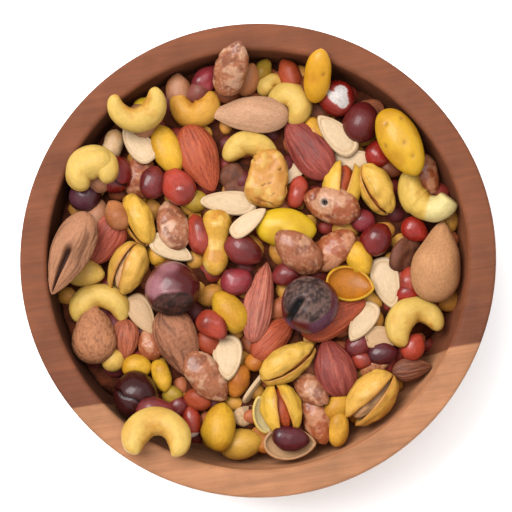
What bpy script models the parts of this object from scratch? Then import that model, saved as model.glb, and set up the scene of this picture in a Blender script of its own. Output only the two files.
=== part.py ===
"""A turned wooden bowl heaped with trail mix: whole nuts, shelled nuts, coated nuts and seeds.

Metres, +Z up. The origin is the centre of the bowl's flat foot. The bowl and the heap are two
solids: the heap is a core that follows the bowl's hollow, with every piece that shows fused on.
"""

import math
from collections import namedtuple

import bmesh
import bpy
import numpy as np
from mathutils import Matrix, Vector

MM = 0.001

# The bowl
RIM_RADIUS = 85.0 * MM
RIM_WIDTH = 10.0 * MM
BOWL_HEIGHT = 62.0 * MM
FLOOR_THICKNESS = 9.0 * MM
FOOT_RADIUS = 38.0 * MM
FOOT_CHAMFER = 1.2 * MM
OUTER_ROUND = 1.4 * MM
INNER_ROUND = 2.0 * MM
WALL_POWER = 2.6
INNER_RADIUS = RIM_RADIUS - RIM_WIDTH
INNER_DEPTH = BOWL_HEIGHT - FLOOR_THICKNESS
OUTER_DEPTH = BOWL_HEIGHT / (1 - (FOOT_RADIUS / RIM_RADIUS) ** WALL_POWER) ** (1 / WALL_POWER)
BOWL_SIDES = 44
WALL_STEPS = 8
ROUND_STEPS = 3

# The heap
CORE_GAP = 0.45 * MM
PIECE_GAP = 0.9 * MM
BED_CENTRE = 50.0 * MM
BED_EDGE = 46.5 * MM
BED_REACH = 70.0 * MM
BED_TILT = 3.5 * MM
BED_UPHILL = 135.0
CORE_LIFT = 1.5 * MM
CORE_SIDES = 28
CORE_STEPS = 6
GRID_STEP = 1.0 * MM
GRID_REACH = 88.0 * MM
SEAT_SHARE = 0.78
SINK = 1.1 * MM
FLAT_SEAT_SHARE = 0.88
FLAT_SINK = 0.6 * MM
FLAT = 0.3
LEAN_MOST = 0.26
RISE_MOST = 21.0 * MM
SHIFT_STEP = 0.3 * MM
PUSH_ROUNDS = 24
EYE = (0.058, -0.107, 0.662)
PROBES = 120
TAPERED = 0.3
TIP_AT = 0.25
END_POWER = 3.2
END_ROUND = 2.2
END_TAPER = 0.10

WOOD = ("wood", (0.36, 0.15, 0.08), 0.5)
NUTS = ("trail_mix", (0.62, 0.34, 0.12), 0.55)

# A kind of piece: its thickness as a share of its width, how far it narrows to its tip, how deep
# its waist is, how far it bends in its own plane, and how many sides and rings its solid has.
Kind = namedtuple("Kind", "thickness taper waist bend sides rings")
KINDS = {
    "almond": Kind(0.60, 0.26, 0.0, 0, 7, 6),
    "shell_almond": Kind(0.72, 0.40, 0.0, 0, 7, 5),
    "slit_almond": Kind(0.72, 0.34, 0.0, 0, 7, 6),
    "candied": Kind(0.66, 0.12, 0.0, 0, 6, 5),
    "gold_almond": Kind(0.74, 0.10, 0.0, 0, 7, 5),
    "cashew": Kind(0.95, 0.10, 0.0, 170, 5, 8),
    "open_cashew": Kind(0.95, 0.10, 0.0, 140, 5, 8),
    "curled_cashew": Kind(0.95, 0.10, 0.0, 200, 5, 9),
    "bent_cashew": Kind(0.95, 0.10, 0.0, 115, 5, 7),
    "folded_cashew": Kind(0.95, 0.10, 0.0, 190, 5, 8),
    "pistachio": Kind(0.86, 0.12, 0.0, 0, 6, 5),
    "half_shell": Kind(0.55, 0.15, 0.0, 0, 7, 4),
    "seed": Kind(0.27, 0.42, 0.0, 0, 6, 4),
    "peanut": Kind(0.88, 0.12, 0.04, 0, 6, 4),
    "waisted": Kind(0.85, -0.12, 0.42, 0, 6, 7),
    "hazelnut": Kind(0.96, 0.06, 0.0, 0, 7, 6),
    "corn": Kind(0.62, -0.22, 0.0, 0, 6, 5),
    "bean": Kind(0.85, 0.05, 0.0, 0, 5, 4),
    "chip": Kind(0.35, 0.30, 0.0, 25, 5, 4),
}

# Every piece that shows, lowest first, in millimetres and degrees: kind, x and y in the plane of
# the rim of the point that it covers for an eye at EYE, heading of its tip, length, width, pitch
# of its tip above level, and roll about its length.
PIECES = (
    ("bean", -41.0, 55.0, 0, 9.0, 8.0, 0, 0),
    ("bean", -51.0, 39.5, 70, 12.0, 8.0, 0, 0),
    ("peanut", -28.5, 61.5, 90, 12.5, 9.0, 10, 0),
    ("peanut", -18.5, 66.0, 60, 12.0, 9.0, 0, 0),
    ("bean", -20.5, 58.5, 20, 9.5, 8.0, 0, 0),
    ("bean", -10.0, 58.0, 10, 9.0, 7.5, 0, 0),
    ("bean", 2.5, 66.0, 60, 9.0, 6.5, 0, 0),
    ("peanut", -9.5, 63.5, 75, 13.0, 10.0, 0, 0),
    ("peanut", 20.0, 60.0, 80, 13.0, 9.5, 0, 0),
    ("peanut", -36.5, -57.0, 0, 14.0, 10.0, 0, 0),
    ("chip", 21.5, 52.0, 0, 13.0, 8.0, 0, 0),
    ("chip", 43.5, 55.5, 0, 10.0, 7.0, 0, 0),
    ("peanut", 44.5, 36.0, 40, 12.0, 10.0, 0, 0),
    ("bean", 48.0, 30.5, 0, 10.0, 7.0, 0, 0),
    ("bean", 69.0, 18.0, 80, 10.0, 8.0, 0, 0),
    ("bean", 38.0, 12.0, 0, 9.5, 8.0, 0, 0),
    ("peanut", 56.5, 8.5, -30, 11.0, 9.0, 0, 0),
    ("bean", 54.5, -9.5, 90, 10.0, 7.5, 0, 0),
    ("bean", 54.0, -14.5, 0, 9.0, 7.0, 0, 0),
    ("bean", 11.0, -6.5, 30, 11.0, 9.0, 0, 0),
    ("bean", -34.0, 0.5, 45, 9.0, 7.5, 0, 0),
    ("seed", -30.0, 2.5, -25, 17.0, 8.5, 0, 0),
    ("bean", -21.0, 19.5, 0, 9.5, 8.5, 0, 0),
    ("chip", -7.5, 25.5, -70, 15.0, 8.5, 0, 0),
    ("seed", 12.0, 29.0, 20, 14.0, 7.5, 0, 0),
    ("seed", 27.5, 35.5, -50, 14.0, 7.5, 0, 0),
    ("bean", -50.0, -37.0, 30, 9.0, 8.0, 0, 0),
    ("bean", -41.5, -39.5, 0, 10.5, 8.5, 0, 0),
    ("candied", -37.0, -31.5, 100, 12.0, 9.0, 0, 0),
    ("bean", -29.0, -49.5, 0, 8.0, 7.0, 0, 0),
    ("bean", -27.5, -53.5, 20, 8.5, 7.5, 0, 0),
    ("bean", -20.0, -51.0, -20, 10.0, 8.0, 0, 0),
    ("bean", -6.0, -44.5, 70, 12.0, 8.0, 0, 0),
    ("bean", 0.0, -38.0, 0, 8.0, 6.5, 0, 0),
    ("bean", -16.5, -31.0, -60, 10.0, 8.0, 0, 0),
    ("chip", -2.5, -56.5, 20, 11.0, 7.0, 0, 0),
    ("chip", 2.5, -65.5, -60, 10.0, 6.5, 0, 0),
    ("bean", 36.5, -32.0, 30, 10.5, 8.5, 0, 0),
    ("seed", 45.0, -29.5, 0, 15.0, 8.5, 0, 0),
    ("bean", 45.0, -35.0, 10, 11.5, 9.0, 0, 0),
    ("bean", 37.5, -37.5, 0, 8.0, 7.0, 0, 0),
    ("bean", 29.0, -53.5, 60, 11.0, 9.0, 0, 0),
    ("chip", 21.0, -39.0, 70, 10.0, 6.0, 0, 0),
    ("bean", 21.5, 44.0, -50, 12.0, 8.0, 0, 0),
    ("hazelnut", -60.5, 22.0, 60, 12.5, 12.0, 0, 0),
    ("hazelnut", -50.5, 29.5, 100, 14.5, 13.5, 0, 0),
    ("peanut", -2.5, 63.0, 75, 13.0, 8.6, 12, 0),
    ("bent_cashew", 5.8, 61.0, 30, 9.5, 4.6, 0, 0),
    ("peanut", 12.3, 65.0, 110, 13.0, 8.8, 10, 0),
    ("cashew", 13.0, 54.5, -45, 16.0, 7.6, 0, 0),
    ("cashew", -22.0, 53.0, 180, 17.6, 7.2, 0, 0),
    ("hazelnut", 29.2, 56.0, 60, 13.6, 13.2, 0, 0),
    ("hazelnut", 37.4, 47.5, 70, 15.4, 13.4, 0, 0),
    ("seed", 34.0, 33.0, 12, 17.0, 9.5, 0, 0),
    ("candied", 60.0, 29.0, -60, 18.0, 11.0, 0, 0),
    ("peanut", -56.5, 14.5, 75, 12.5, 9.5, 0, 0),
    ("almond", -54.0, 5.5, 240, 21.0, 14.0, 0, 0),
    ("peanut", -49.5, 15.2, 120, 12.0, 8.6, 0, 0),
    ("peanut", -60.5, -5.8, -5, 14.6, 10.2, 0, 0),
    ("shell_almond", -59.5, -28.0, 95, 23.0, 16.4, 0, 0),
    ("almond", -46.0, -29.5, -88, 14.5, 10.4, 0, 0),
    ("seed", -40.0, -21.0, -60, 16.5, 9.0, 0, 0),
    ("pistachio", -45.5, -4.0, -115, 19.4, 13.2, 0, 20),
    ("candied", -41.0, 29.0, 80, 17.5, 11.0, 0, 0),
    ("seed", -42.0, 40.0, 130, 16.5, 9.6, 0, 0),
    ("peanut", -31.7, 38.5, 112, 18.5, 11.4, 0, 0),
    ("peanut", -36.8, 26.5, 75, 12.5, 9.6, 0, 0),
    ("peanut", -33.0, -42.5, -75, 12.8, 8.0, 0, 0),
    ("hazelnut", -42.8, -49.5, 100, 17.4, 16.4, 0, 0),
    ("shell_almond", -27.0, -31.5, -68, 28.0, 15.4, 0, 0),
    ("peanut", -22.4, -58.5, 95, 11.5, 7.4, 0, 0),
    ("half_shell", -4.5, -67.0, 10, 16.8, 11.4, 0, 180),
    ("half_shell", 2.0, -56.5, 105, 14.0, 8.4, 0, 20),
    ("peanut", -9.0, -20.0, 128, 17.5, 11.4, 0, 0),
    ("peanut", -15.5, -24.3, -45, 12.6, 9.8, 0, 0),
    ("almond", 6.5, -29.5, 45, 20.0, 11.4, 0, 0),
    ("almond", 27.5, -22.0, 25, 26.0, 14.4, 0, 0),
    ("peanut", 42.8, 5.5, 50, 13.4, 11.2, 0, 0),
    ("chip", 53.5, 0.5, 60, 15.0, 9.6, 0, 40),
    ("seed", 37.8, -24.0, 240, 16.8, 9.0, 0, 0),
    ("peanut", 36.7, -1.5, -60, 12.5, 9.6, 0, 0),
    ("peanut", 55.8, -33.0, 60, 10.5, 8.8, 0, 0),
    ("candied", 42.5, -39.5, 38, 13.0, 7.4, 0, 0),
    ("almond", 55.4, -41.0, 10, 14.4, 8.6, 0, 0),
    ("peanut", 29.5, -61.5, 80, 13.6, 8.4, 0, 0),
    ("almond", 28.0, -40.0, 108, 21.5, 15.4, 0, 0),
    ("candied", 21.5, -58.5, -68, 18.8, 9.6, 0, 0),
    ("half_shell", 12.3, -66.4, 0, 19.0, 12.0, 0, 0),
    ("peanut", 12.3, -64.6, -8, 13.2, 9.4, 0, 0),
    ("open_cashew", -2.0, 39.0, 4, 20.8, 8.2, 0, 0),
    ("peanut", 15.0, 22.8, 75, 12.6, 7.8, 0, 0),
    ("corn", 4.3, 27.6, 88, 21.0, 14.4, 0, 0),
    ("gold_almond", 10.8, 9.8, -5, 21.6, 14.2, 0, 0),
    ("waisted", -14.0, 4.8, 87, 24.0, 10.4, 0, 0),
    ("candied", 27.5, 1.8, 40, 19.6, 12.0, 0, 0),
    ("pistachio", 31.0, 25.0, 78, 17.6, 13.0, 0, 5),
    ("shell_almond", -2.5, 50.8, 178, 29.5, 14.4, 0, 0),
    ("almond", -19.8, 35.0, -68, 26.0, 14.6, 0, 0),
    ("seed", 28.6, 43.0, 135, 18.8, 9.8, 0, 0),
    ("almond", 18.6, 38.3, 125, 26.8, 14.4, 0, 0),
    ("shell_almond", 65.6, -2.5, 82, 29.8, 18.0, 0, 0),
    ("pistachio", 42.8, 23.2, -62, 20.0, 13.0, 0, 50),
    ("bent_cashew", 59.2, 20.0, 140, 23.6, 9.6, 0, 0),
    ("pistachio", -41.8, 13.0, -68, 19.8, 12.4, 0, 80),
    ("candied", -29.5, 11.0, 106, 19.2, 11.8, 0, 0),
    ("hazelnut", -29.8, -11.2, 100, 20.0, 19.6, 0, 0),
    ("peanut", -27.8, 25.4, 118, 15.4, 12.2, 0, 0),
    ("seed", -10.0, 18.8, 178, 21.2, 9.2, 0, 0),
    ("peanut", -4.4, 2.2, -25, 14.8, 11.6, 0, 0),
    ("seed", -2.5, 12.0, 38, 15.6, 7.2, 0, 0),
    ("peanut", -6.5, -9.0, 20, 11.6, 10.2, 0, 0),
    ("candied", 14.8, 1.8, 138, 20.4, 13.0, 0, 0),
    ("candied", 27.0, 18.0, 162, 21.4, 13.2, 0, 0),
    ("almond", 1.5, -16.6, 80, 30.0, 11.0, 0, 0),
    ("half_shell", 33.3, -11.2, -10, 17.6, 13.0, 0, 0),
    ("hazelnut", 18.8, -17.0, 120, 21.0, 20.6, 0, 0),
    ("seed", 46.4, -10.4, -75, 19.2, 10.6, 0, 0),
    ("cashew", 55.6, -23.0, 25, 23.0, 9.0, 0, 0),
    ("peanut", -12.6, -60.6, 80, 17.4, 12.4, 0, 0),
    ("candied", -17.2, -43.0, -50, 21.6, 12.6, 0, 0),
    ("seed", -9.8, -36.4, -88, 17.2, 11.0, 0, 0),
    ("seed", -0.8, -46.4, 55, 13.6, 7.0, 0, 75),
    ("candied", 20.2, -48.0, -40, 15.0, 9.4, 0, 0),
    ("pistachio", 9.2, -54.2, -75, 18.0, 13.2, 0, 0),
    ("pistachio", 11.4, -38.2, 32, 22.2, 13.2, 0, 45),
    ("pistachio", 41.0, -50.6, -132, 22.6, 14.8, 0, -10),
)

# The pieces that are propped up: on the rim, or between their neighbours. They are given in the
# same way, with the height of the middle of each after x and y.
PROPPED = (
    ("open_cashew", -55.0, -16.8, 50.4, 0, 23.4, 8.6, 0, 0),
    ("peanut", -20.2, 7.8, 53.6, 105, 15.2, 8.8, 0, 0),
    ("peanut", -36.0, -55.0, 59.4, 10, 14.0, 11.0, 0, 0),
    ("peanut", -9.0, 63.0, 54.0, 75, 12.0, 10.0, 0, 0),
    ("peanut", 21.0, 61.5, 54.0, 80, 12.0, 9.5, 0, 0),
    ("peanut", -40.5, 48.5, 54.5, 120, 13.0, 11.0, 0, 0),
    ("peanut", -57.0, 29.5, 57.2, 120, 13.0, 11.0, 0, 0),
    ("peanut", -65.5, 3.0, 54.0, 80, 14.0, 11.0, 0, 0),
    ("peanut", 53.0, 42.0, 52.0, -60, 16.0, 11.0, 0, 0),
    ("cashew", -42.8, 53.2, 63.0, 190, 22.6, 8.4, 0, -26),
    ("folded_cashew", -59.4, 33.0, 63.9, 15, 18.0, 9.0, 0, -16),
    ("gold_almond", 51.4, 41.0, 59.5, -63, 26.4, 14.8, 0, 0),
    ("slit_almond", -67.0, 2.0, 62.6, 247, 32.0, 15.6, 0, 14),
    ("candied", -9.2, 68.4, 62.0, 68, 22.0, 11.8, 30, 0),
    ("gold_almond", 22.0, 65.4, 61.5, 82, 20.6, 10.2, 30, 0),
    ("curled_cashew", -35.4, -61.8, 66.4, -4, 25.2, 9.2, 0, -26),
)

GAPE = 16.0
VALVE_PART = 0.04


def make_object(name, mesh, material):
    """Links a mesh as the named object, flat-shaded, with its own material."""
    obj = bpy.data.objects.new(name, mesh)
    bpy.context.scene.collection.objects.link(obj)
    label, colour, roughness = material
    finish = bpy.data.materials.new(label)
    finish.use_nodes = True
    shader = finish.node_tree.nodes["Principled BSDF"]
    shader.inputs["Base Color"].default_value = (*colour, 1.0)
    shader.inputs["Roughness"].default_value = roughness
    shader.inputs["Metallic"].default_value = 0.0
    mesh.materials.append(finish)
    return obj


def bowed_radius(depth, radius, full_depth):
    """Radius of the bowl's bowed wall at a depth below its rim."""
    share = min(max(depth / full_depth, 0.0), 1.0)
    return radius * (1 - share**WALL_POWER) ** (1 / WALL_POWER)


def wall_points(radius, full_depth, last_depth, steps):
    """(radius, height) points down a bowed wall, closer together towards its foot."""
    turn = math.asin(min(1.0, last_depth / full_depth))
    points = []
    for i in range(steps + 1):
        depth = full_depth * math.sin(turn * i / steps)
        points.append((bowed_radius(depth, radius, full_depth), BOWL_HEIGHT - depth))
    return points


def corner_arc(centre_radius, rounding, first_degrees):
    """(radius, height) points of a rounded corner under the rim's flat, over a quarter turn."""
    arc = []
    for i in range(ROUND_STEPS + 1):
        a = math.radians(first_degrees + 90 * i / ROUND_STEPS)
        height = BOWL_HEIGHT - rounding + rounding * math.sin(a)
        arc.append((centre_radius + rounding * math.cos(a), height))
    return arc


def turned(name, profile, sides, material):
    """A solid turned about Z from a profile that starts and ends on the axis."""
    mesh = bpy.data.meshes.new(name)
    bm = bmesh.new()
    verts = [bm.verts.new((r, 0.0, z)) for r, z in profile]
    edges = [bm.edges.new(pair) for pair in zip(verts, verts[1:])]
    bmesh.ops.spin(
        bm, geom=verts + edges, cent=(0, 0, 0), axis=(0, 0, 1), angle=math.tau,
        steps=sides, use_merge=True,
    )
    bmesh.ops.remove_doubles(bm, verts=bm.verts, dist=1e-6)
    bmesh.ops.dissolve_degenerate(bm, edges=bm.edges, dist=1e-6)
    bmesh.ops.recalc_face_normals(bm, faces=bm.faces)
    bm.to_mesh(mesh)
    bm.free()
    return make_object(name, mesh, material)


def make_bowl():
    """The turned bowl: a flat foot, a bowed wall and a flat rim with rounded edges."""
    outer = wall_points(RIM_RADIUS, OUTER_DEPTH, BOWL_HEIGHT - FOOT_CHAMFER, WALL_STEPS)
    inner = wall_points(INNER_RADIUS, INNER_DEPTH, INNER_DEPTH, WALL_STEPS)
    profile = [(0.0, 0.0), (FOOT_RADIUS - FOOT_CHAMFER, 0.0)]
    profile += [p for p in reversed(outer) if p[1] < BOWL_HEIGHT - 2 * OUTER_ROUND]
    profile += corner_arc(RIM_RADIUS - OUTER_ROUND, OUTER_ROUND, 0)
    profile += corner_arc(INNER_RADIUS + INNER_ROUND, INNER_ROUND, 90)
    profile += [p for p in inner if p[1] < BOWL_HEIGHT - 2 * INNER_ROUND]
    bowl = turned("bowl", profile, BOWL_SIDES, WOOD)
    bowl.data.shade_smooth()
    bowl.data.set_sharp_from_angle(angle=math.radians(40))
    return bowl


def bed_height(x, y):
    """Height of the bed that the pieces which show lie on: a dome, higher on one side."""
    uphill = math.radians(BED_UPHILL)
    across = (x * math.cos(uphill) + y * math.sin(uphill)) / BED_REACH
    fall = (x * x + y * y) / BED_REACH**2
    return BED_CENTRE - (BED_CENTRE - BED_EDGE) * fall + BED_TILT * across


def make_core():
    """The heap's hidden inside: the bowl's hollow filled to just over the bed."""
    wall = wall_points(INNER_RADIUS, INNER_DEPTH, INNER_DEPTH, WALL_STEPS)
    edge_height = BED_EDGE + CORE_LIFT
    lowest_edge = edge_height - BED_TILT - CORE_GAP
    under = [(max(r - CORE_GAP, 0.0), z + CORE_GAP) for r, z in wall if z < lowest_edge]
    edge_radius = bowed_radius(BOWL_HEIGHT - edge_height, INNER_RADIUS, INNER_DEPTH) - 3 * CORE_GAP
    top = [(edge_radius * i / CORE_STEPS, BOWL_HEIGHT) for i in range(CORE_STEPS + 1)]
    core = turned("core", top + under, CORE_SIDES, NUTS)
    for v in core.data.vertices:
        if v.co.z > BOWL_HEIGHT - CORE_GAP:
            v.co.z = bed_height(v.co.x, v.co.y) + CORE_LIFT
    return core


def narrowing(u, kind):
    """Share of the full width at u, from -1 at the blunt end to 1 at the tip."""
    blunt, tip = 0.5, 0.5 + kind.taper
    widest = (blunt - tip) / (blunt + tip)
    peak = (1 + widest) ** blunt * (1 - widest) ** tip
    waist = 1 - kind.waist * math.exp(-((u / 0.42) ** 2))
    return max(1 + u, 0.0) ** blunt * max(1 - u, 0.0) ** tip / peak * waist


def fullness(u):
    """Share of the full width at u of a bent piece, which keeps its width almost to its ends."""
    return max(1 - abs(u) ** END_POWER, 0.0) ** (1 / END_ROUND) * (1 - END_TAPER * u)


def bent(point, u, length, width, bend):
    """Carries a point beside a straight centreline to the same place beside a bent one."""
    half = math.radians(bend) / 2
    arc_radius = (length - width) / (2 * math.sin(min(half, math.pi / 2)))
    a = u * half
    top = arc_radius + width / 2
    low = arc_radius * math.cos(half) - width / 2
    reach = arc_radius + point.y
    return Vector((reach * math.sin(a), reach * math.cos(a) - (top + low) / 2, point.z))


def past_bend(length, width, bend):
    """How far a bent piece runs past the ends of its bend with its round ends, as a share."""
    half = math.radians(bend) / 2
    arc_radius = (length - width) / (2 * math.sin(min(half, math.pi / 2)))
    return 1 + width / (2 * arc_radius * half)


def faced_out(bm):
    """Turns a closed solid's faces outwards."""
    bmesh.ops.recalc_face_normals(bm, faces=bm.faces)
    if bm.calc_volume(signed=True) < 0:
        bmesh.ops.reverse_faces(bm, faces=bm.faces)
    return bm


def ovoid(kind, length, width, sides, rings):
    """A closed nut-shaped solid along X with its tip at +X, from a sphere reshaped by its kind."""
    width *= (1 + 1 / math.cos(math.pi / sides)) / 2
    bm = bmesh.new()
    bmesh.ops.create_uvsphere(bm, u_segments=sides, v_segments=rings, radius=1.0)
    for v in bm.verts:
        u = max(-1.0, min(1.0, v.co.z))
        round_share = math.sqrt(max(1 - u * u, 1e-9))
        full = fullness(u) if kind.bend else narrowing(u, kind)
        share = full / round_share if round_share > 1e-3 else 0.0
        across = Vector((
            u * length / 2,
            v.co.x * share * width / 2,
            v.co.y * share * width * kind.thickness / 2,
        ))
        if kind.bend:
            across = bent(across, u * past_bend(length, width, kind.bend), length, width, kind.bend)
        v.co = across
    return faced_out(bm)


def halved(bm):
    """Keeps the half of a solid where y is positive, closed with a flat face."""
    cut = bmesh.ops.bisect_plane(
        bm, geom=bm.verts[:] + bm.edges[:] + bm.faces[:], dist=1e-7,
        plane_co=(0, 0, 0), plane_no=(0, 1, 0), clear_inner=True,
    )
    rim = [e for e in cut["geom_cut"] if isinstance(e, bmesh.types.BMEdge)]
    bmesh.ops.contextual_create(bm, geom=rim)
    return faced_out(bm)


def split_shell(kind, length, width):
    """A pistachio: two valves that meet at the blunt end and gape at the tip, round a kernel."""
    hinge = Vector((-length / 2, 0, 0))
    solids = []
    for side in (1, -1):
        valve = halved(ovoid(kind, length, width * 0.92, kind.sides, kind.rings))
        if side < 0:
            bmesh.ops.scale(valve, vec=(1, -1, 1), verts=valve.verts)
            faced_out(valve)
        bmesh.ops.translate(valve, vec=(0, side * width * VALVE_PART / 2, 0), verts=valve.verts)
        turn = Matrix.Rotation(math.radians(side * GAPE / 2), 3, "Z")
        bmesh.ops.rotate(valve, cent=hinge, matrix=turn, verts=valve.verts)
        solids.append(valve)
    solids.append(ovoid(KINDS["bean"], length * 0.82, width * 0.62, 5, 4))
    return solids


def dish(kind, length, width):
    """A half shell lying open side up: a rounded underside and a hollowed top."""
    bm = ovoid(kind, length, width, kind.sides, kind.rings)
    for v in bm.verts:
        if v.co.z > 1e-6:
            v.co = Vector((v.co.x * 0.86, v.co.y * 0.86, -v.co.z * 0.72))
    return [faced_out(bm)]


def piece_solids(kind_name, length, width):
    """The closed solids of one piece, in its own frame."""
    kind = KINDS[kind_name]
    if kind_name == "pistachio":
        return split_shell(kind, length, width)
    if kind_name == "half_shell":
        return dish(kind, length, width)
    return [ovoid(kind, length, width, kind.sides, kind.rings)]


def piece_blobs(kind_name, length, width):
    """The piece as a few ellipsoids (centre, half axes), which is enough to see how it lies."""
    kind = KINDS[kind_name]
    half = np.array([length, width, width * kind.thickness]) / 2
    if kind.bend:
        ball = np.array([half[1], half[1], half[2]]) * 0.95
        middles = [
            bent(Vector((0, 0, 0)), u, length, width, kind.bend)
            for u in (-1.0, -0.5, 0.0, 0.5, 1.0)
        ]
        return [(np.array(middle), ball) for middle in middles]
    back = 0.55 * max(kind.taper, 0.0)
    blobs = [(np.array([-back * half[0], 0, 0]), half * (1 - back, 1, 1))]
    if kind.taper > TAPERED:
        slim = narrowing(TIP_AT, kind)
        blobs.append((np.array([TIP_AT * half[0], 0, 0]), half * (1 - TIP_AT, slim, slim)))
    return blobs


def behind(seen_x, seen_y, z):
    """The point at height z that the eye sees at this point of the rim's plane."""
    along = (z - EYE[2]) / (BOWL_HEIGHT - EYE[2])
    return EYE[0] + (seen_x - EYE[0]) * along, EYE[1] + (seen_y - EYE[1]) * along


def sphere_probes(count):
    """Points spread evenly over a unit sphere."""
    i = np.arange(count) + 0.5
    polar = np.arccos(1 - 2 * i / count)
    around = np.pi * (1 + math.sqrt(5)) * i
    return np.stack(
        [np.cos(around) * np.sin(polar), np.sin(around) * np.sin(polar), np.cos(polar)], axis=1
    )


class Heap:
    """The heap's surface as a grid of heights, on which each piece in turn is laid."""

    def __init__(self):
        line = np.arange(-GRID_REACH, GRID_REACH, GRID_STEP)
        self.x, self.y = np.meshgrid(line, line, indexing="ij")
        self.inside = np.hypot(self.x, self.y) < INNER_RADIUS - PIECE_GAP
        self.height = np.where(self.inside, bed_height(self.x, self.y), BOWL_HEIGHT)
        self.probes = sphere_probes(PROBES)

    def spans(self, blobs, turn, x, y):
        """Lowest and highest surface of the turned blobs over each grid point, or NaN."""
        low = np.full(self.x.shape, np.nan)
        high = np.full(self.x.shape, np.nan)
        for centre, half in blobs:
            at = turn @ centre
            shape = turn @ np.diag(half**2) @ turn.T
            flat = np.linalg.inv(shape[:2, :2])
            dx, dy = self.x - x - at[0], self.y - y - at[1]
            near = flat[0, 0] * dx * dx + 2 * flat[0, 1] * dx * dy + flat[1, 1] * dy * dy
            slope = shape[2, :2] @ flat
            rest = shape[2, 2] - slope @ shape[:2, 2]
            reach = np.sqrt(np.where(near < 1, (1 - near) * rest, np.nan))
            middle = at[2] + slope[0] * dx + slope[1] * dy
            low = np.fmin(low, middle - reach)
            high = np.fmax(high, middle + reach)
        return low, high

    def lean(self, blobs, turn, x, y):
        """Rotation that lays a level piece along the heap's mean slope under it."""
        low, _ = self.spans(blobs, turn, x, y)
        under = ~np.isnan(low) & self.inside
        rows = np.stack([self.x[under] - x, self.y[under] - y, np.ones(under.sum())], axis=1)
        slope = np.linalg.lstsq(rows, self.height[under], rcond=None)[0][:2]
        slope = slope * min(1.0, LEAN_MOST / max(np.hypot(*slope), 1e-9))
        normal = Vector((-slope[0], -slope[1], 1.0)).normalized()
        return np.array(Vector((0, 0, 1)).rotation_difference(normal).to_matrix())

    def rest_height(self, blobs, turn, x, y, flat):
        """Height of the piece's origin when it lies on the heap, sunk a little where it meets it."""
        low, high = self.spans(blobs, turn, x, y)
        under = ~np.isnan(low) & self.inside
        share = FLAT_SEAT_SHARE if flat else SEAT_SHARE
        seat = np.quantile((self.height - low)[under], share)
        ceiling = bed_height(x, y) + RISE_MOST - np.nanmax(high)
        return min(seat, ceiling) - (FLAT_SINK if flat else SINK)

    def in_wall(self, blobs, turn, x, y, z):
        """How far the piece reaches into the bowl's wall, with its gap."""
        most = 0.0
        for centre, half in blobs:
            points = (self.probes * half + centre) @ turn.T + (x, y, z)
            for px, py, pz in points:
                if pz < BOWL_HEIGHT + PIECE_GAP:
                    free = bowed_radius(BOWL_HEIGHT - pz, INNER_RADIUS, INNER_DEPTH)
                    most = max(most, math.hypot(px, py) + PIECE_GAP - free)
        return most

    def lay(self, kind_name, seen_x, seen_y, heading, length, width, pitch, roll):
        """Lays one piece and returns the matrix that carries it from its own frame."""
        blobs = piece_blobs(kind_name, length, width)
        flat = KINDS[kind_name].thickness < FLAT
        turn = attitude(heading, pitch, roll)
        turn = self.lean(blobs, turn, seen_x, seen_y) @ turn
        x, y = seen_x, seen_y
        for step in range(PUSH_ROUNDS):
            z = self.rest_height(blobs, turn, x, y, flat)
            x, y = behind(seen_x, seen_y, z)
            inward = 1 - step * SHIFT_STEP / math.hypot(x, y)
            x, y = x * inward, y * inward
            if self.in_wall(blobs, turn, x, y, z) <= 0:
                break
        _, high = self.spans(blobs, turn, x, y)
        self.height = np.fmax(self.height, high + z)
        return placing(turn, x, y, z)


def attitude(heading, pitch, roll):
    """Rotation matrix of a piece, from degrees."""
    return np.array(
        Matrix.Rotation(math.radians(heading), 3, "Z")
        @ Matrix.Rotation(math.radians(-pitch), 3, "Y")
        @ Matrix.Rotation(math.radians(roll), 3, "X")
    )


def placing(turn, x, y, z):
    """The matrix that carries a piece from its own frame to its place."""
    place = Matrix(turn.tolist()).to_4x4()
    place.translation = (x, y, z)
    return place


def piece_places():
    """(kind, length, width, matrix) of every piece, in the order in which they are laid."""
    heap = Heap()
    places = []
    for kind_name, x, y, heading, length, width, pitch, roll in PIECES:
        size = (length * MM, width * MM)
        place = heap.lay(kind_name, x * MM, y * MM, heading, *size, pitch, roll)
        places.append((kind_name, *size, place))
    for kind_name, x, y, z, heading, length, width, pitch, roll in PROPPED:
        spot = behind(x * MM, y * MM, z * MM)
        place = placing(attitude(heading, pitch, roll), *spot, z * MM)
        places.append((kind_name, length * MM, width * MM, place))
    return places


def piece_objects():
    """One object for each solid of each piece, in its place."""
    laid = []
    for kind_name, length, width, place in piece_places():
        for bm in piece_solids(kind_name, length, width):
            mesh = bpy.data.meshes.new("piece")
            bm.transform(place)
            bm.to_mesh(mesh)
            bm.free()
            laid.append(bpy.data.objects.new("piece", mesh))
    return laid


def drop_loose_shells(mesh):
    """Keeps the heap's outer skin, and drops sealed hollows and scraps."""
    bm = bmesh.new()
    bm.from_mesh(mesh)
    bmesh.ops.triangulate(bm, faces=bm.faces)
    bm.faces.index_update()
    bm.faces.ensure_lookup_table()
    shells = []
    seen = [False] * len(bm.faces)
    for first in bm.faces:
        if seen[first.index]:
            continue
        seen[first.index] = True
        shell = [first]
        for face in shell:
            for edge in face.edges:
                for other in edge.link_faces:
                    if not seen[other.index]:
                        seen[other.index] = True
                        shell.append(other)
        shells.append(shell)
    largest = max(shells, key=len)
    extra = [f for shell in shells if shell is not largest for f in shell]
    bmesh.ops.delete(bm, geom=extra, context="FACES")
    bm.to_mesh(mesh)
    bm.free()


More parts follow.
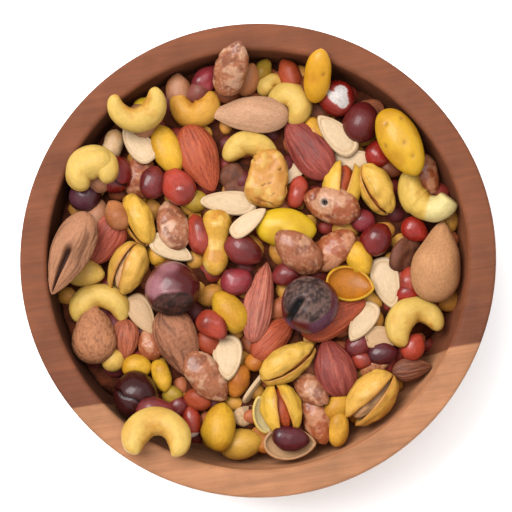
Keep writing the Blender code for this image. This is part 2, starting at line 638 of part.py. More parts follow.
def make_heap():
    """The heap: the core with every laid piece joined to it as one solid."""
    heap = make_core()
    heap.name = "trail_mix"
    group = bpy.data.collections.new("pieces")
    bpy.context.scene.collection.children.link(group)
    pieces = piece_objects()
    for obj in pieces:
        group.objects.link(obj)
    union = heap.modifiers.new("join", "BOOLEAN")
    union.operation = "UNION"
    union.operand_type = "COLLECTION"
    union.collection = group
    union.solver = "MANIFOLD"
    bpy.context.view_layer.update()
    joined = bpy.data.meshes.new_from_object(
        heap.evaluated_get(bpy.context.evaluated_depsgraph_get())
    )
    heap.modifiers.remove(union)
    heap.data = joined
    drop_loose_shells(joined)
    for obj in pieces:
        bpy.data.objects.remove(obj)
    bpy.data.collections.remove(group)
    return heap


for old in list(bpy.data.objects):
    bpy.data.objects.remove(old)
make_bowl()
make_heap()
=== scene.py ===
"""A turned wooden bowl heaped with trail mix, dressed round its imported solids.

Metres, +Z up. The origin is the centre of the bowl's foot, and +Y is the top of the picture.
"""

import math
from collections import namedtuple

import bpy
import numpy as np
from mathutils import Matrix, Vector


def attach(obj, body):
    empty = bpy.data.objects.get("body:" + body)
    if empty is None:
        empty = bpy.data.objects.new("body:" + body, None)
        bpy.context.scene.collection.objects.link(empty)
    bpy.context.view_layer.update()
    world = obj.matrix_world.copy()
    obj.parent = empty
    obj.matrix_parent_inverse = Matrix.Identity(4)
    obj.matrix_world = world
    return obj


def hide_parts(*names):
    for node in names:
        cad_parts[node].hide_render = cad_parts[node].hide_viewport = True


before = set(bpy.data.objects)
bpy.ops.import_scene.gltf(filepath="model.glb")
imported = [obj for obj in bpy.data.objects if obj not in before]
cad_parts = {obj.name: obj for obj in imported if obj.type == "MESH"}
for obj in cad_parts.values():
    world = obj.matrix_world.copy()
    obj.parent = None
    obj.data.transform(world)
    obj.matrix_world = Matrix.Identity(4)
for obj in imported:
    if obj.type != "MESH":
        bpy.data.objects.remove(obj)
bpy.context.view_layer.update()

# The bowl is turned from one blank of glued boards of a reddish hardwood, then sanded and oiled. It
# has a flat rim with eased edges, a bowed wall and a flat foot. The joints between its boards run
# straight through it, and the grain follows them. Its inside carries painted shade, darkest on the
# left, and painted light towards the lower right.
MM = 0.001
RIM_RADIUS = 85.0 * MM
BOWL_HEIGHT = 62.0 * MM
RIM_WIDTH = 10.0 * MM
FLOOR_THICKNESS = 9.0 * MM
FOOT_RADIUS = 38.0 * MM
FOOT_CHAMFER = 1.2 * MM
OUTER_ROUND = 1.4 * MM
INNER_ROUND = 2.0 * MM
WALL_POWER = 2.6
INNER_RADIUS = RIM_RADIUS - RIM_WIDTH
INNER_DEPTH = BOWL_HEIGHT - FLOOR_THICKNESS
OUTER_DEPTH = BOWL_HEIGHT / (1 - (FOOT_RADIUS / RIM_RADIUS) ** WALL_POWER) ** (1 / WALL_POWER)
BOWL_SIDES = 300
WALL_STEPS = 48
ROUND_STEPS = 9
TURNING_WOBBLE = 0.25 * MM
GRAIN_TURN = math.radians(9)
TAN_JOINT = -42.6 * MM
DARK_JOINT = -28.7 * MM
JOINT_BLUR = 0.5 * MM
RING_CENTRE = (0.0, 30.0 * MM, 110.0 * MM)
RING_STRETCH = (0.12, 1.0, 1.0)
RING_TONES = (0.95, 1.03)
GRAIN_SIZE = (45.0 * MM, 2.2 * MM)
GRAIN_TONES = (0.84, 1.14)
FINE_GRAIN_SIZE = (12.0 * MM, 0.6 * MM)
FINE_GRAIN_TONES = (0.90, 1.08)
PORE_SIZE = (6.0 * MM, 0.4 * MM)
PORE_TONE = 0.80
PATCH_SIZE = 13.0 * MM
PATCH_TONES = (0.80, 1.18)
# Painted shade darkens the inside of the wall towards the left, and painted light brightens it towards the
# lower right.
PAINTED_SHADE_TONES = (0.45, 0.95)
PAINTED_SHADE_FROM = (-80.0 * MM, -20.0 * MM)
PAINTED_LIGHT_TONES = (1.0, 1.6)
PAINTED_LIGHT_FROM = (20.0 * MM, 100.0 * MM)
NOISE_GAIN = 1.6


def colour(red, green, blue):
    """Linear colour from display values of 0 to 255."""
    shares = np.array([red, green, blue]) / 255
    return np.where(shares <= 0.04045, shares / 12.92, ((shares + 0.055) / 1.055) ** 2.4)


def rgba(shade):
    """A linear colour as a shader socket takes it."""
    return (*map(float, shade), 1.0)


def smooth_noise(points, seed):
    """Smooth noise from -1 to 1 at points given in units of its grid."""
    size = 16
    table = np.random.default_rng(seed).uniform(-1, 1, (size, size, size))
    cell = np.floor(points).astype(int)
    share = points - cell
    share = share * share * (3 - 2 * share)
    total = np.zeros(points.shape[:-1])
    for corner in np.ndindex(2, 2, 2):
        weight = np.prod(np.where(corner, share, 1 - share), axis=-1)
        at = (cell + corner) % size
        total += weight * table[at[..., 0], at[..., 1], at[..., 2]]
    return total * NOISE_GAIN


def closed_skin(grid):
    """Points and faces of a closed skin from a grid whose first and last rows are single points."""
    rings, sides = grid.shape[0] - 1, grid.shape[1]
    inner = np.arange(1, 1 + (rings - 1) * sides).reshape(rings - 1, sides)
    across = np.roll(inner, -1, axis=1)
    quads = np.stack([inner[:-1], across[:-1], across[1:], inner[1:]], axis=-1).reshape(-1, 4)
    last = 1 + (rings - 1) * sides
    start = np.stack([np.zeros(sides, int), across[0], inner[0]], axis=-1)
    end = np.stack([np.full(sides, last), inner[-1], across[-1]], axis=-1)
    faces = [tuple(face) for part in (start, quads, end) for face in part.tolist()]
    return flat_rows(grid), faces


def flat_rows(grid):
    """A grid's values one after another, with its first and last rows taken once."""
    return np.concatenate([grid[:1, 0], grid[1:-1].reshape(-1, *grid.shape[2:]), grid[-1:, 0]])


def mesh_object(name, points, faces, material):
    """A smooth-shaded mesh object at the origin."""
    mesh = bpy.data.meshes.new(name)
    mesh.from_pydata(points.tolist(), [], faces)
    mesh.materials.append(material)
    mesh.shade_smooth()
    made = bpy.data.objects.new(name, mesh)
    bpy.context.scene.collection.objects.link(made)
    return made


def add_node(tree, kind, inputs=None, **settings):
    """Adds a node; each input that is named takes a link from a socket, or a value."""
    made = tree.nodes.new(kind)
    for setting, value in settings.items():
        setattr(made, setting, value)
    for socket_name, value in (inputs or {}).items():
        socket = made.inputs[socket_name]
        if isinstance(value, bpy.types.NodeSocket):
            tree.links.new(value, socket)
        else:
            socket.default_value = value
    return made


def maths(tree, operation, *values):
    """A maths node's result."""
    return add_node(tree, "ShaderNodeMath", dict(enumerate(values)), operation=operation).outputs[0]


def ramped(tree, value, low, high, to_low=0.0, to_high=1.0):
    """A value carried smoothly from one range to another."""
    inputs = {"Value": value, "From Min": low, "From Max": high, "To Min": to_low, "To Max": to_high}
    return add_node(tree, "ShaderNodeMapRange", inputs, interpolation_type="SMOOTHSTEP").outputs[0]


def mixed(tree, share, first, second, blend="MIX"):
    """Two colours mixed by a share."""
    inputs = {0: share, 6: first, 7: second}
    return add_node(tree, "ShaderNodeMix", inputs, data_type="RGBA", blend_type=blend).outputs[2]


def shader_group(name, inputs, outputs):
    """An empty shader node group with named sockets, and its inputs' sockets by name."""
    group = bpy.data.node_groups.new(name, "ShaderNodeTree")
    for socket_name, kind, value in inputs:
        socket = group.interface.new_socket(socket_name, in_out="INPUT", socket_type=kind)
        if value is not None:
            socket.default_value = value
    for socket_name, kind in outputs:
        group.interface.new_socket(socket_name, in_out="OUTPUT", socket_type=kind)
    return group, group.nodes.new("NodeGroupInput").outputs


def group_result(group, **results):
    """Links a group's results to its output sockets."""
    end = group.nodes.new("NodeGroupOutput")
    for socket_name, value in results.items():
        group.links.new(value, end.inputs[socket_name])


def use_group(tree, group, inputs):
    """Places a shader group with its own values."""
    made = tree.nodes.new("ShaderNodeGroup")
    made.node_tree = group
    for socket_name, value in inputs.items():
        if isinstance(value, bpy.types.NodeSocket):
            tree.links.new(value, made.inputs[socket_name])
        else:
            made.inputs[socket_name].default_value = value
    return made.outputs


# Streaks that run along X, from 0 to 1 about a half: the grain of wood, the fibres of a shell and the
# veins of a skin, each with a length and a width.
fibres, given = shader_group(
    "fibres",
    [
        ("Place", "NodeSocketVector", None),
        ("Length", "NodeSocketFloat", 0.02),
        ("Width", "NodeSocketFloat", 0.001),
        ("Contrast", "NodeSocketFloat", 0.3),
    ],
    [("Streaks", "NodeSocketFloat")],
)
split = add_node(fibres, "ShaderNodeSeparateXYZ", {0: given["Place"]}).outputs
stretched = add_node(
    fibres,
    "ShaderNodeCombineXYZ",
    {
        0: maths(fibres, "DIVIDE", split[0], given["Length"]),
        1: maths(fibres, "DIVIDE", split[1], given["Width"]),
        2: maths(fibres, "DIVIDE", split[2], given["Width"]),
    },
).outputs[0]
streaks = add_node(
    fibres, "ShaderNodeTexNoise", {"Vector": stretched, "Scale": 1.0, "Detail": 3.0, "Roughness": 0.6}
).outputs[0]
centred = maths(fibres, "SUBTRACT", streaks, 0.5)
group_result(fibres, Streaks=maths(fibres, "MULTIPLY_ADD", centred, given["Contrast"], 0.5))

# Soft blotches of a given size, from 0 to 1 about a half: the uneven tone of wood, skin and glaze.
blotches, given = shader_group(
    "blotches",
    [
        ("Place", "NodeSocketVector", None),
        ("Size", "NodeSocketFloat", 0.003),
        ("Contrast", "NodeSocketFloat", 0.3),
    ],
    [("Value", "NodeSocketFloat")],
)
cloud = add_node(
    blotches,
    "ShaderNodeTexNoise",
    {
        "Vector": given["Place"],
        "Scale": maths(blotches, "DIVIDE", 1.0, given["Size"]),
        "Detail": 3.0,
        "Roughness": 0.55,
    },
).outputs[0]
centred = maths(blotches, "SUBTRACT", cloud, 0.5)
group_result(blotches, Value=maths(blotches, "MULTIPLY_ADD", centred, given["Contrast"], 0.5))


def streaks_of(tree, place, size, contrast):
    """Streaks of a length and width, from 0 to 1 about a half."""
    inputs = {"Place": place, "Length": size[0], "Width": size[1], "Contrast": contrast}
    return use_group(tree, fibres, inputs)[0]


def blotches_of(tree, place, size, contrast):
    """Blotches of a size, from 0 to 1 about a half."""
    return use_group(tree, blotches, {"Place": place, "Size": size, "Contrast": contrast})[0]


def shaded(tree, tint, shade):
    """A colour made lighter or darker by a number."""
    grey = add_node(tree, "ShaderNodeCombineColor", {0: shade, 1: shade, 2: shade}).outputs[0]
    return mixed(tree, 1.0, tint, grey, "MULTIPLY")


def new_material(name):
    """A new material, with its node tree and its shader."""
    made = bpy.data.materials.new(name)
    made.use_nodes = True
    return made, made.node_tree, made.node_tree.nodes["Principled BSDF"]


def wood_material():
    """Three boards of different tone with streaks, pores and faint growth rings, and painted shade and
    painted light on the inside.
    """
    tan, brown, red = (rgba(colour(*shade)) for shade in ((138, 94, 65), (91, 50, 32), (100, 56, 35)))
    wood, tree, shader = new_material("oiled_hardwood")
    place = add_node(tree, "ShaderNodeTexCoord").outputs["Object"]
    turned = add_node(
        tree, "ShaderNodeMapping", {"Vector": place, "Rotation": (0.0, 0.0, -GRAIN_TURN)}
    ).outputs[0]
    sides = add_node(tree, "ShaderNodeSeparateXYZ", {0: turned}).outputs
    past_tan = ramped(tree, sides[1], TAN_JOINT - JOINT_BLUR, TAN_JOINT + JOINT_BLUR)
    past_dark = ramped(tree, sides[1], DARK_JOINT - JOINT_BLUR, DARK_JOINT + JOINT_BLUR)
    board = mixed(tree, past_dark, mixed(tree, past_tan, tan, brown), red)

    grain = streaks_of(tree, turned, GRAIN_SIZE, 1.5)
    fine = streaks_of(tree, turned, FINE_GRAIN_SIZE, 1.6)
    patches = blotches_of(tree, turned, PATCH_SIZE, 1.3)
    from_heart = add_node(
        tree, "ShaderNodeMapping", {"Vector": turned, "Location": RING_CENTRE, "Scale": RING_STRETCH}
    ).outputs[0]
    rings = add_node(
        tree,
        "ShaderNodeTexWave",
        {"Vector": from_heart, "Scale": 42.0, "Distortion": 2.6, "Detail": 2.0, "Detail Scale": 1.4},
        wave_type="RINGS",
        rings_direction="X",
    ).outputs["Fac"]
    shade = ramped(tree, rings, 0.0, 1.0, *RING_TONES)
    for value, tones in ((grain, GRAIN_TONES), (fine, FINE_GRAIN_TONES), (patches, PATCH_TONES)):
        shade = maths(tree, "MULTIPLY", shade, ramped(tree, value, 0.0, 1.0, *tones))
    pores = ramped(tree, streaks_of(tree, turned, PORE_SIZE, 1.0), 0.28, 0.42, PORE_TONE, 1.0)
    shade = maths(tree, "MULTIPLY", shade, pores)
    own = add_node(tree, "ShaderNodeSeparateXYZ", {0: place}).outputs
    flat_place = add_node(tree, "ShaderNodeCombineXYZ", {0: own[0], 1: own[1], 2: 0.0}).outputs[0]
    radius = add_node(tree, "ShaderNodeVectorMath", {0: flat_place}, operation="LENGTH").outputs["Value"]
    inside = maths(
        tree,
        "MULTIPLY",
        ramped(tree, radius, INNER_RADIUS + 0.4 * MM, INNER_RADIUS + 2.0 * MM, 1.0, 0.0),
        ramped(tree, own[2], BOWL_HEIGHT - 1.6 * MM, BOWL_HEIGHT - 0.2 * MM, 1.0, 0.0),
    )
    # Painted shade darkens the inside of the wall towards the left, and painted light brightens it towards
    # the lower right.
    left_painted_shade = ramped(tree, own[0], *PAINTED_SHADE_FROM, *PAINTED_SHADE_TONES)
    low_right = maths(tree, "SUBTRACT", own[0], own[1])
    lower_right_painted_light = ramped(tree, low_right, *PAINTED_LIGHT_FROM, *PAINTED_LIGHT_TONES)
    inside_painted_light_and_shade = maths(tree, "MULTIPLY", left_painted_shade, lower_right_painted_light)
    painted_inside_light_and_shade = maths(tree, "MULTIPLY_ADD", inside, maths(tree, "SUBTRACT", inside_painted_light_and_shade, 1.0), 1.0)
    shade = maths(tree, "MULTIPLY", shade, painted_inside_light_and_shade)
    tree.links.new(shaded(tree, board, shade), shader.inputs["Base Color"])
    tree.links.new(ramped(tree, fine, 0.1, 0.9, 0.62, 0.76), shader.inputs["Roughness"])
    shader.inputs["Specular IOR Level"].default_value = 0.15
    relief = maths(tree, "MULTIPLY_ADD", pores, 0.6, maths(tree, "MULTIPLY", fine, 0.4))
    bump = add_node(tree, "ShaderNodeBump", {"Strength": 0.35, "Distance": 0.0002, "Height": relief})
    tree.links.new(bump.outputs[0], shader.inputs["Normal"])
    return wood


def bowed_radius(depth, radius, full_depth):
    """Radius of the bowl's bowed wall at a depth below its rim."""
    share = min(max(depth / full_depth, 0.0), 1.0)
    return radius * (1 - share**WALL_POWER) ** (1 / WALL_POWER)


def wall_points(radius, full_depth, last_depth):
    """(radius, height) points down a bowed wall, closer together towards its foot."""
    turn = math.asin(min(1.0, last_depth / full_depth))
    depths = [full_depth * math.sin(turn * i / WALL_STEPS) for i in range(WALL_STEPS + 1)]
    return [(bowed_radius(depth, radius, full_depth), BOWL_HEIGHT - depth) for depth in depths]


def corner_arc(centre_radius, rounding, first_degrees):
    """(radius, height) points of a rounded corner under the rim's flat, over a quarter turn."""
    turns = [math.radians(first_degrees + 90 * i / ROUND_STEPS) for i in range(ROUND_STEPS + 1)]
    top = BOWL_HEIGHT - rounding
    return [(centre_radius + rounding * math.cos(a), top + rounding * math.sin(a)) for a in turns]


outer_wall = wall_points(RIM_RADIUS, OUTER_DEPTH, BOWL_HEIGHT - FOOT_CHAMFER)
inner_wall = wall_points(INNER_RADIUS, INNER_DEPTH, INNER_DEPTH)
profile = [(0.0, 0.0), (FOOT_RADIUS * 0.5, 0.0), (FOOT_RADIUS - FOOT_CHAMFER, 0.0)]
profile += [p for p in reversed(outer_wall) if p[1] < BOWL_HEIGHT - 2 * OUTER_ROUND]
profile += corner_arc(RIM_RADIUS - OUTER_ROUND, OUTER_ROUND, 0)
profile += corner_arc(INNER_RADIUS + INNER_ROUND, INNER_ROUND, 90)
profile += [p for p in inner_wall if INNER_RADIUS * 0.02 < p[0] and p[1] < BOWL_HEIGHT - 2 * INNER_ROUND]
profile += [(0.0, FLOOR_THICKNESS)]
profile = np.array(profile)
around = np.arange(BOWL_SIDES) * math.tau / BOWL_SIDES
radii, angles = np.meshgrid(profile[:, 0], -around, indexing="ij")
heights = np.repeat(profile[:, 1:], BOWL_SIDES, axis=1)
lie = np.stack([np.cos(angles) * 1.2 + 5, np.sin(angles) * 1.2 + 5, heights / 0.05], axis=-1)
radii = radii + TURNING_WOBBLE * smooth_noise(lie, 3) * (radii > FOOT_RADIUS)
radii = np.minimum(radii, RIM_RADIUS)
bowl_grid = np.stack([radii * np.cos(angles), radii * np.sin(angles), heights], axis=-1)
bowl = mesh_object("turned_bowl", *closed_skin(bowl_grid), wood_material())
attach(bowl, "root")
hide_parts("bowl")

# The mix is poured in and lies as it fell: small nuts at the bottom, the large ones on top of them.
# Each piece that shows is laid on those below it, lowest first. EYE is where someone stands who sees
# each piece at the place that the list gives.
PIECE_GAP = 0.9 * MM
BED_CENTRE = 50.0 * MM
BED_EDGE = 46.5 * MM
BED_REACH = 70.0 * MM
BED_TILT = 3.5 * MM
BED_UPHILL = 135.0
GRID_STEP = 1.0 * MM
GRID_REACH = 88.0 * MM
SEAT_SHARE = 0.78
SINK = 1.1 * MM
FLAT_SEAT_SHARE = 0.88
FLAT_SINK = 0.6 * MM
FLAT = 0.3
LEAN_MOST = 0.26
RISE_MOST = 21.0 * MM
SHIFT_STEP = 0.3 * MM
PUSH_ROUNDS = 24
EYE = (0.058, -0.107, 0.662)
PROBES = 120
TAPERED = 0.3
TIP_AT = 0.25
END_POWER = 3.2
END_ROUND = 2.2
END_TAPER = 0.10

# A kind of piece: its thickness as a share of its width, how far it narrows to its tip, how deep
# its waist is, and how far it bends in its own plane.
Kind = namedtuple("Kind", "thickness taper waist bend")
KINDS = {
    "almond": Kind(0.60, 0.26, 0.0, 0),
    "shell_almond": Kind(0.72, 0.40, 0.0, 0),
    "slit_almond": Kind(0.72, 0.34, 0.0, 0),
    "candied": Kind(0.66, 0.12, 0.0, 0),
    "gold_almond": Kind(0.74, 0.10, 0.0, 0),
    "cashew": Kind(0.95, 0.10, 0.0, 170),
    "open_cashew": Kind(0.95, 0.10, 0.0, 140),
    "curled_cashew": Kind(0.95, 0.10, 0.0, 200),
    "bent_cashew": Kind(0.95, 0.10, 0.0, 115),
    "folded_cashew": Kind(0.95, 0.10, 0.0, 190),
    "pistachio": Kind(0.86, 0.12, 0.0, 0),
    "half_shell": Kind(0.55, 0.15, 0.0, 0),
    "seed": Kind(0.27, 0.42, 0.0, 0),
    "peanut": Kind(0.88, 0.12, 0.04, 0),
    "waisted": Kind(0.85, -0.12, 0.42, 0),
    "hazelnut": Kind(0.96, 0.06, 0.0, 0),
    "corn": Kind(0.62, -0.22, 0.0, 0),
    "bean": Kind(0.85, 0.05, 0.0, 0),
    "chip": Kind(0.35, 0.30, 0.0, 25),
}

# Every piece that shows, lowest first, in millimetres and degrees: kind, x and y in the plane of
# the rim of the point that it covers for an eye at EYE, heading of its tip, length, width, pitch
# of its tip above level, roll about its length, and the name of its look.
PIECES = (
    ("bean", -41.0, 55.0, 0, 9.0, 8.0, 0, 0, "lemon"),
    ("bean", -51.0, 39.5, 70, 12.0, 8.0, 0, 0, "bone"),
    ("peanut", -28.5, 61.5, 90, 12.5, 9.0, 10, 0, "tan"),
    ("peanut", -18.5, 66.0, 60, 12.0, 9.0, 0, 0, "rose"),
    ("bean", -20.5, 58.5, 20, 9.5, 8.0, 0, 0, "rosewood"),
    ("bean", -10.0, 58.0, 10, 9.0, 7.5, 0, 0, "chestnut"),
    ("bean", 2.5, 66.0, 60, 9.0, 6.5, 0, 0, "olive"),
    ("peanut", -9.5, 63.5, 75, 13.0, 10.0, 0, 0, "tan"),
    ("peanut", 20.0, 60.0, 80, 13.0, 9.5, 0, 0, "chestnut"),
    ("peanut", -36.5, -57.0, 0, 14.0, 10.0, 0, 0, "maroon"),
    ("chip", 21.5, 52.0, 0, 13.0, 8.0, 0, 0, "chestnut"),
    ("chip", 43.5, 55.5, 0, 10.0, 7.0, 0, 0, "caramel"),
    ("peanut", 44.5, 36.0, 40, 12.0, 10.0, 0, 0, "cherry"),
    ("bean", 48.0, 30.5, 0, 10.0, 7.0, 0, 0, "chestnut"),
    ("bean", 69.0, 18.0, 80, 10.0, 8.0, 0, 0, "caramel"),
    ("bean", 38.0, 12.0, 0, 9.5, 8.0, 0, 0, "rose"),
    ("peanut", 56.5, 8.5, -30, 11.0, 9.0, 0, 0, "cherry"),
    ("bean", 54.5, -9.5, 90, 10.0, 7.5, 0, 0, "brick"),
    ("bean", 54.0, -14.5, 0, 9.0, 7.0, 0, 0, "cherry"),
    ("bean", 11.0, -6.5, 30, 11.0, 9.0, 0, 0, "maroon"),
    ("bean", -34.0, 0.5, 45, 9.0, 7.5, 0, 0, "honey"),
    ("seed", -30.0, 2.5, -25, 17.0, 8.5, 0, 0, "cream"),
    ("bean", -21.0, 19.5, 0, 9.5, 8.5, 0, 0, "olive"),
    ("chip", -7.5, 25.5, -70, 15.0, 8.5, 0, 0, "walnut"),
    ("seed", 12.0, 29.0, 20, 14.0, 7.5, 0, 0, "cream"),
    ("seed", 27.5, 35.5, -50, 14.0, 7.5, 0, 0, "cream"),
    ("bean", -50.0, -37.0, 30, 9.0, 8.0, 0, 0, "butter"),
    ("bean", -41.5, -39.5, 0, 10.5, 8.5, 0, 0, "gold"),
    ("candied", -37.0, -31.5, 100, 12.0, 9.0, 0, 0, "caramel"),
    ("bean", -29.0, -49.5, 0, 8.0, 7.0, 0, 0, "olive"),
    ("bean", -27.5, -53.5, 20, 8.5, 7.5, 0, 0, "maroon"),
    ("bean", -20.0, -51.0, -20, 10.0, 8.0, 0, 0, "rust"),
    ("bean", -6.0, -44.5, 70, 12.0, 8.0, 0, 0, "amber"),
    ("bean", 0.0, -38.0, 0, 8.0, 6.5, 0, 0, "amber"),
    ("bean", -16.5, -31.0, -60, 10.0, 8.0, 0, 0, "rust"),
    ("chip", -2.5, -56.5, 20, 11.0, 7.0, 0, 0, "bone"),
    ("chip", 2.5, -65.5, -60, 10.0, 6.5, 0, 0, "amber"),
    ("bean", 36.5, -32.0, 30, 10.5, 8.5, 0, 0, "maroon"),
    ("seed", 45.0, -29.5, 0, 15.0, 8.5, 0, 0, "bone"),
    ("bean", 45.0, -35.0, 10, 11.5, 9.0, 0, 0, "wine"),
    ("bean", 37.5, -37.5, 0, 8.0, 7.0, 0, 0, "brick"),
    ("bean", 29.0, -53.5, 60, 11.0, 9.0, 0, 0, "honey"),
    ("chip", 21.0, -39.0, 70, 10.0, 6.0, 0, 0, "caramel"),
    ("bean", 21.5, 44.0, -50, 12.0, 8.0, 0, 0, "honey"),
    ("hazelnut", -60.5, 22.0, 60, 12.5, 12.0, 0, 0, "plum"),
    ("hazelnut", -50.5, 29.5, 100, 14.5, 13.5, 0, 0, "split"),
    ("peanut", -2.5, 63.0, 75, 13.0, 8.6, 12, 0, "toffee"),
    ("bent_cashew", 5.8, 61.0, 30, 9.5, 4.6, 0, 0, "butter"),
    ("peanut", 12.3, 65.0, 110, 13.0, 8.8, 10, 0, "rust"),
    ("cashew", 13.0, 54.5, -45, 16.0, 7.6, 0, 0, "butter"),
    ("cashew", -22.0, 53.0, 180, 17.6, 7.2, 0, 0, "honey"),
    ("hazelnut", 29.2, 56.0, 60, 13.6, 13.2, 0, 0, "chipped"),
    ("hazelnut", 37.4, 47.5, 70, 15.4, 13.4, 0, 0, "dusky"),
    ("seed", 34.0, 33.0, 12, 17.0, 9.5, 0, 0, "cream"),
    ("candied", 60.0, 29.0, -60, 18.0, 11.0, 0, 0, "caramel"),
    ("peanut", -56.5, 14.5, 75, 12.5, 9.5, 0, 0, "tan"),
    ("almond", -54.0, 5.5, 240, 21.0, 14.0, 0, 0, "rust"),
    ("peanut", -49.5, 15.2, 120, 12.0, 8.6, 0, 0, "toffee"),
    ("peanut", -60.5, -5.8, -5, 14.6, 10.2, 0, 0, "butter"),
    ("shell_almond", -59.5, -28.0, 95, 23.0, 16.4, 0, 0, "pitted"),
    ("almond", -46.0, -29.5, -88, 14.5, 10.4, 0, 0, "russet"),
    ("seed", -40.0, -21.0, -60, 16.5, 9.0, 0, 0, "bone"),
    ("pistachio", -45.5, -4.0, -115, 19.4, 13.2, 0, 20, "gaping"),
    ("candied", -41.0, 29.0, 80, 17.5, 11.0, 0, 0, "caramel"),
    ("seed", -42.0, 40.0, 130, 16.5, 9.6, 0, 0, "cream"),
    ("peanut", -31.7, 38.5, 112, 18.5, 11.4, 0, 0, "gold"),
    ("peanut", -36.8, 26.5, 75, 12.5, 9.6, 0, 0, "maroon"),
    ("peanut", -33.0, -42.5, -75, 12.8, 8.0, 0, 0, "gold"),
    ("hazelnut", -42.8, -49.5, 100, 17.4, 16.4, 0, 0, "cracked"),
    ("shell_almond", -27.0, -31.5, -68, 28.0, 15.4, 0, 0, "fibrous"),
    ("peanut", -22.4, -58.5, 95, 11.5, 7.4, 0, 0, "tipped"),
    ("half_shell", -4.5, -67.0, 10, 16.8, 11.4, 0, 180, "domed"),
    ("half_shell", 2.0, -56.5, 105, 14.0, 8.4, 0, 20, "pale"),
    ("peanut", -9.0, -20.0, 128, 17.5, 11.4, 0, 0, "gold"),
    ("peanut", -15.5, -24.3, -45, 12.6, 9.8, 0, 0, "brick"),
    ("almond", 6.5, -29.5, 45, 20.0, 11.4, 0, 0, "orange"),
    ("almond", 27.5, -22.0, 25, 26.0, 14.4, 0, 0, "orange"),
    ("peanut", 42.8, 5.5, 50, 13.4, 11.2, 0, 0, "garnet"),
    ("chip", 53.5, 0.5, 60, 15.0, 9.6, 0, 40, "walnut"),
    ("seed", 37.8, -24.0, 240, 16.8, 9.0, 0, 0, "cream"),
    ("peanut", 36.7, -1.5, -60, 12.5, 9.6, 0, 0, "gold"),
    ("peanut", 55.8, -33.0, 60, 10.5, 8.8, 0, 0, "brick"),
    ("candied", 42.5, -39.5, 38, 13.0, 7.4, 0, 0, "toffee"),
    ("almond", 55.4, -41.0, 10, 14.4, 8.6, 0, 0, "walnut"),
    ("peanut", 29.5, -61.5, 80, 13.6, 8.4, 0, 0, "honey"),
    ("almond", 28.0, -40.0, 108, 21.5, 15.4, 0, 0, "plum"),
    ("candied", 21.5, -58.5, -68, 18.8, 9.6, 0, 0, "caramel"),
    ("half_shell", 12.3, -66.4, 0, 19.0, 12.0, 0, 0, "tan"),
    ("peanut", 12.3, -64.6, -8, 13.2, 9.4, 0, 0, "wine"),
    ("open_cashew", -2.0, 39.0, 4, 20.8, 8.2, 0, 0, "flat_arc"),
    ("peanut", 15.0, 22.8, 75, 12.6, 7.8, 0, 0, "brick"),
    ("corn", 4.3, 27.6, 88, 21.0, 14.4, 0, 0, "toasted"),
    ("gold_almond", 10.8, 9.8, -5, 21.6, 14.2, 0, 0, "lemon"),
    ("waisted", -14.0, 4.8, 87, 24.0, 10.4, 0, 0, "honey"),
    ("candied", 27.5, 1.8, 40, 19.6, 12.0, 0, 0, "caramel"),
    ("pistachio", 31.0, 25.0, 78, 17.6, 13.0, 0, 5, "ruddy"),
    ("shell_almond", -2.5, 50.8, 178, 29.5, 14.4, 0, 0, "smooth"),
    ("almond", -19.8, 35.0, -68, 26.0, 14.6, 0, 0, "orange"),
    ("seed", 28.6, 43.0, 135, 18.8, 9.8, 0, 0, "cream"),
    ("almond", 18.6, 38.3, 125, 26.8, 14.4, 0, 0, "plum"),
    ("shell_almond", 65.6, -2.5, 82, 29.8, 18.0, 0, 0, "sanded"),
    ("pistachio", 42.8, 23.2, -62, 20.0, 13.0, 0, 50, "shut"),
    ("bent_cashew", 59.2, 20.0, 140, 23.6, 9.6, 0, 0, "broken"),
    ("pistachio", -41.8, 13.0, -68, 19.8, 12.4, 0, 80, "edged"),
    ("candied", -29.5, 11.0, 106, 19.2, 11.8, 0, 0, "sugared"),
    ("hazelnut", -29.8, -11.2, 100, 20.0, 19.6, 0, 0, "bloomed"),
    ("peanut", -27.8, 25.4, 118, 15.4, 12.2, 0, 0, "glossy"),
    ("seed", -10.0, 18.8, 178, 21.2, 9.2, 0, 0, "cream"),
    ("peanut", -4.4, 2.2, -25, 14.8, 11.6, 0, 0, "maroon"),
    ("seed", -2.5, 12.0, 38, 15.6, 7.2, 0, 0, "cream"),
    ("peanut", -6.5, -9.0, 20, 11.6, 10.2, 0, 0, "rose"),
    ("candied", 14.8, 1.8, 138, 20.4, 13.0, 0, 0, "rosy"),
    ("candied", 27.0, 18.0, 162, 21.4, 13.2, 0, 0, "holed"),
    ("almond", 1.5, -16.6, 80, 30.0, 11.0, 0, 0, "pink"),
    ("half_shell", 33.3, -11.2, -10, 17.6, 13.0, 0, 0, "saffron"),
    ("hazelnut", 18.8, -17.0, 120, 21.0, 20.6, 0, 0, "capped"),
    ("seed", 46.4, -10.4, -75, 19.2, 10.6, 0, 0, "cream"),
    ("cashew", 55.6, -23.0, 25, 23.0, 9.0, 0, 0, "butter"),
    ("peanut", -12.6, -60.6, 80, 17.4, 12.4, 0, 0, "gold"),
    ("candied", -17.2, -43.0, -50, 21.6, 12.6, 0, 0, "sugared"),
    ("seed", -9.8, -36.4, -88, 17.2, 11.0, 0, 0, "cream"),
    ("seed", -0.8, -46.4, 55, 13.6, 7.0, 0, 75, "cream"),
    ("candied", 20.2, -48.0, -40, 15.0, 9.4, 0, 0, "rosy"),
    ("pistachio", 9.2, -54.2, -75, 18.0, 13.2, 0, 0, "ruddy"),
    ("pistachio", 11.4, -38.2, 32, 22.2, 13.2, 0, 45, "shut"),
    ("pistachio", 41.0, -50.6, -132, 22.6, 14.8, 0, -10, "gaping"),
)

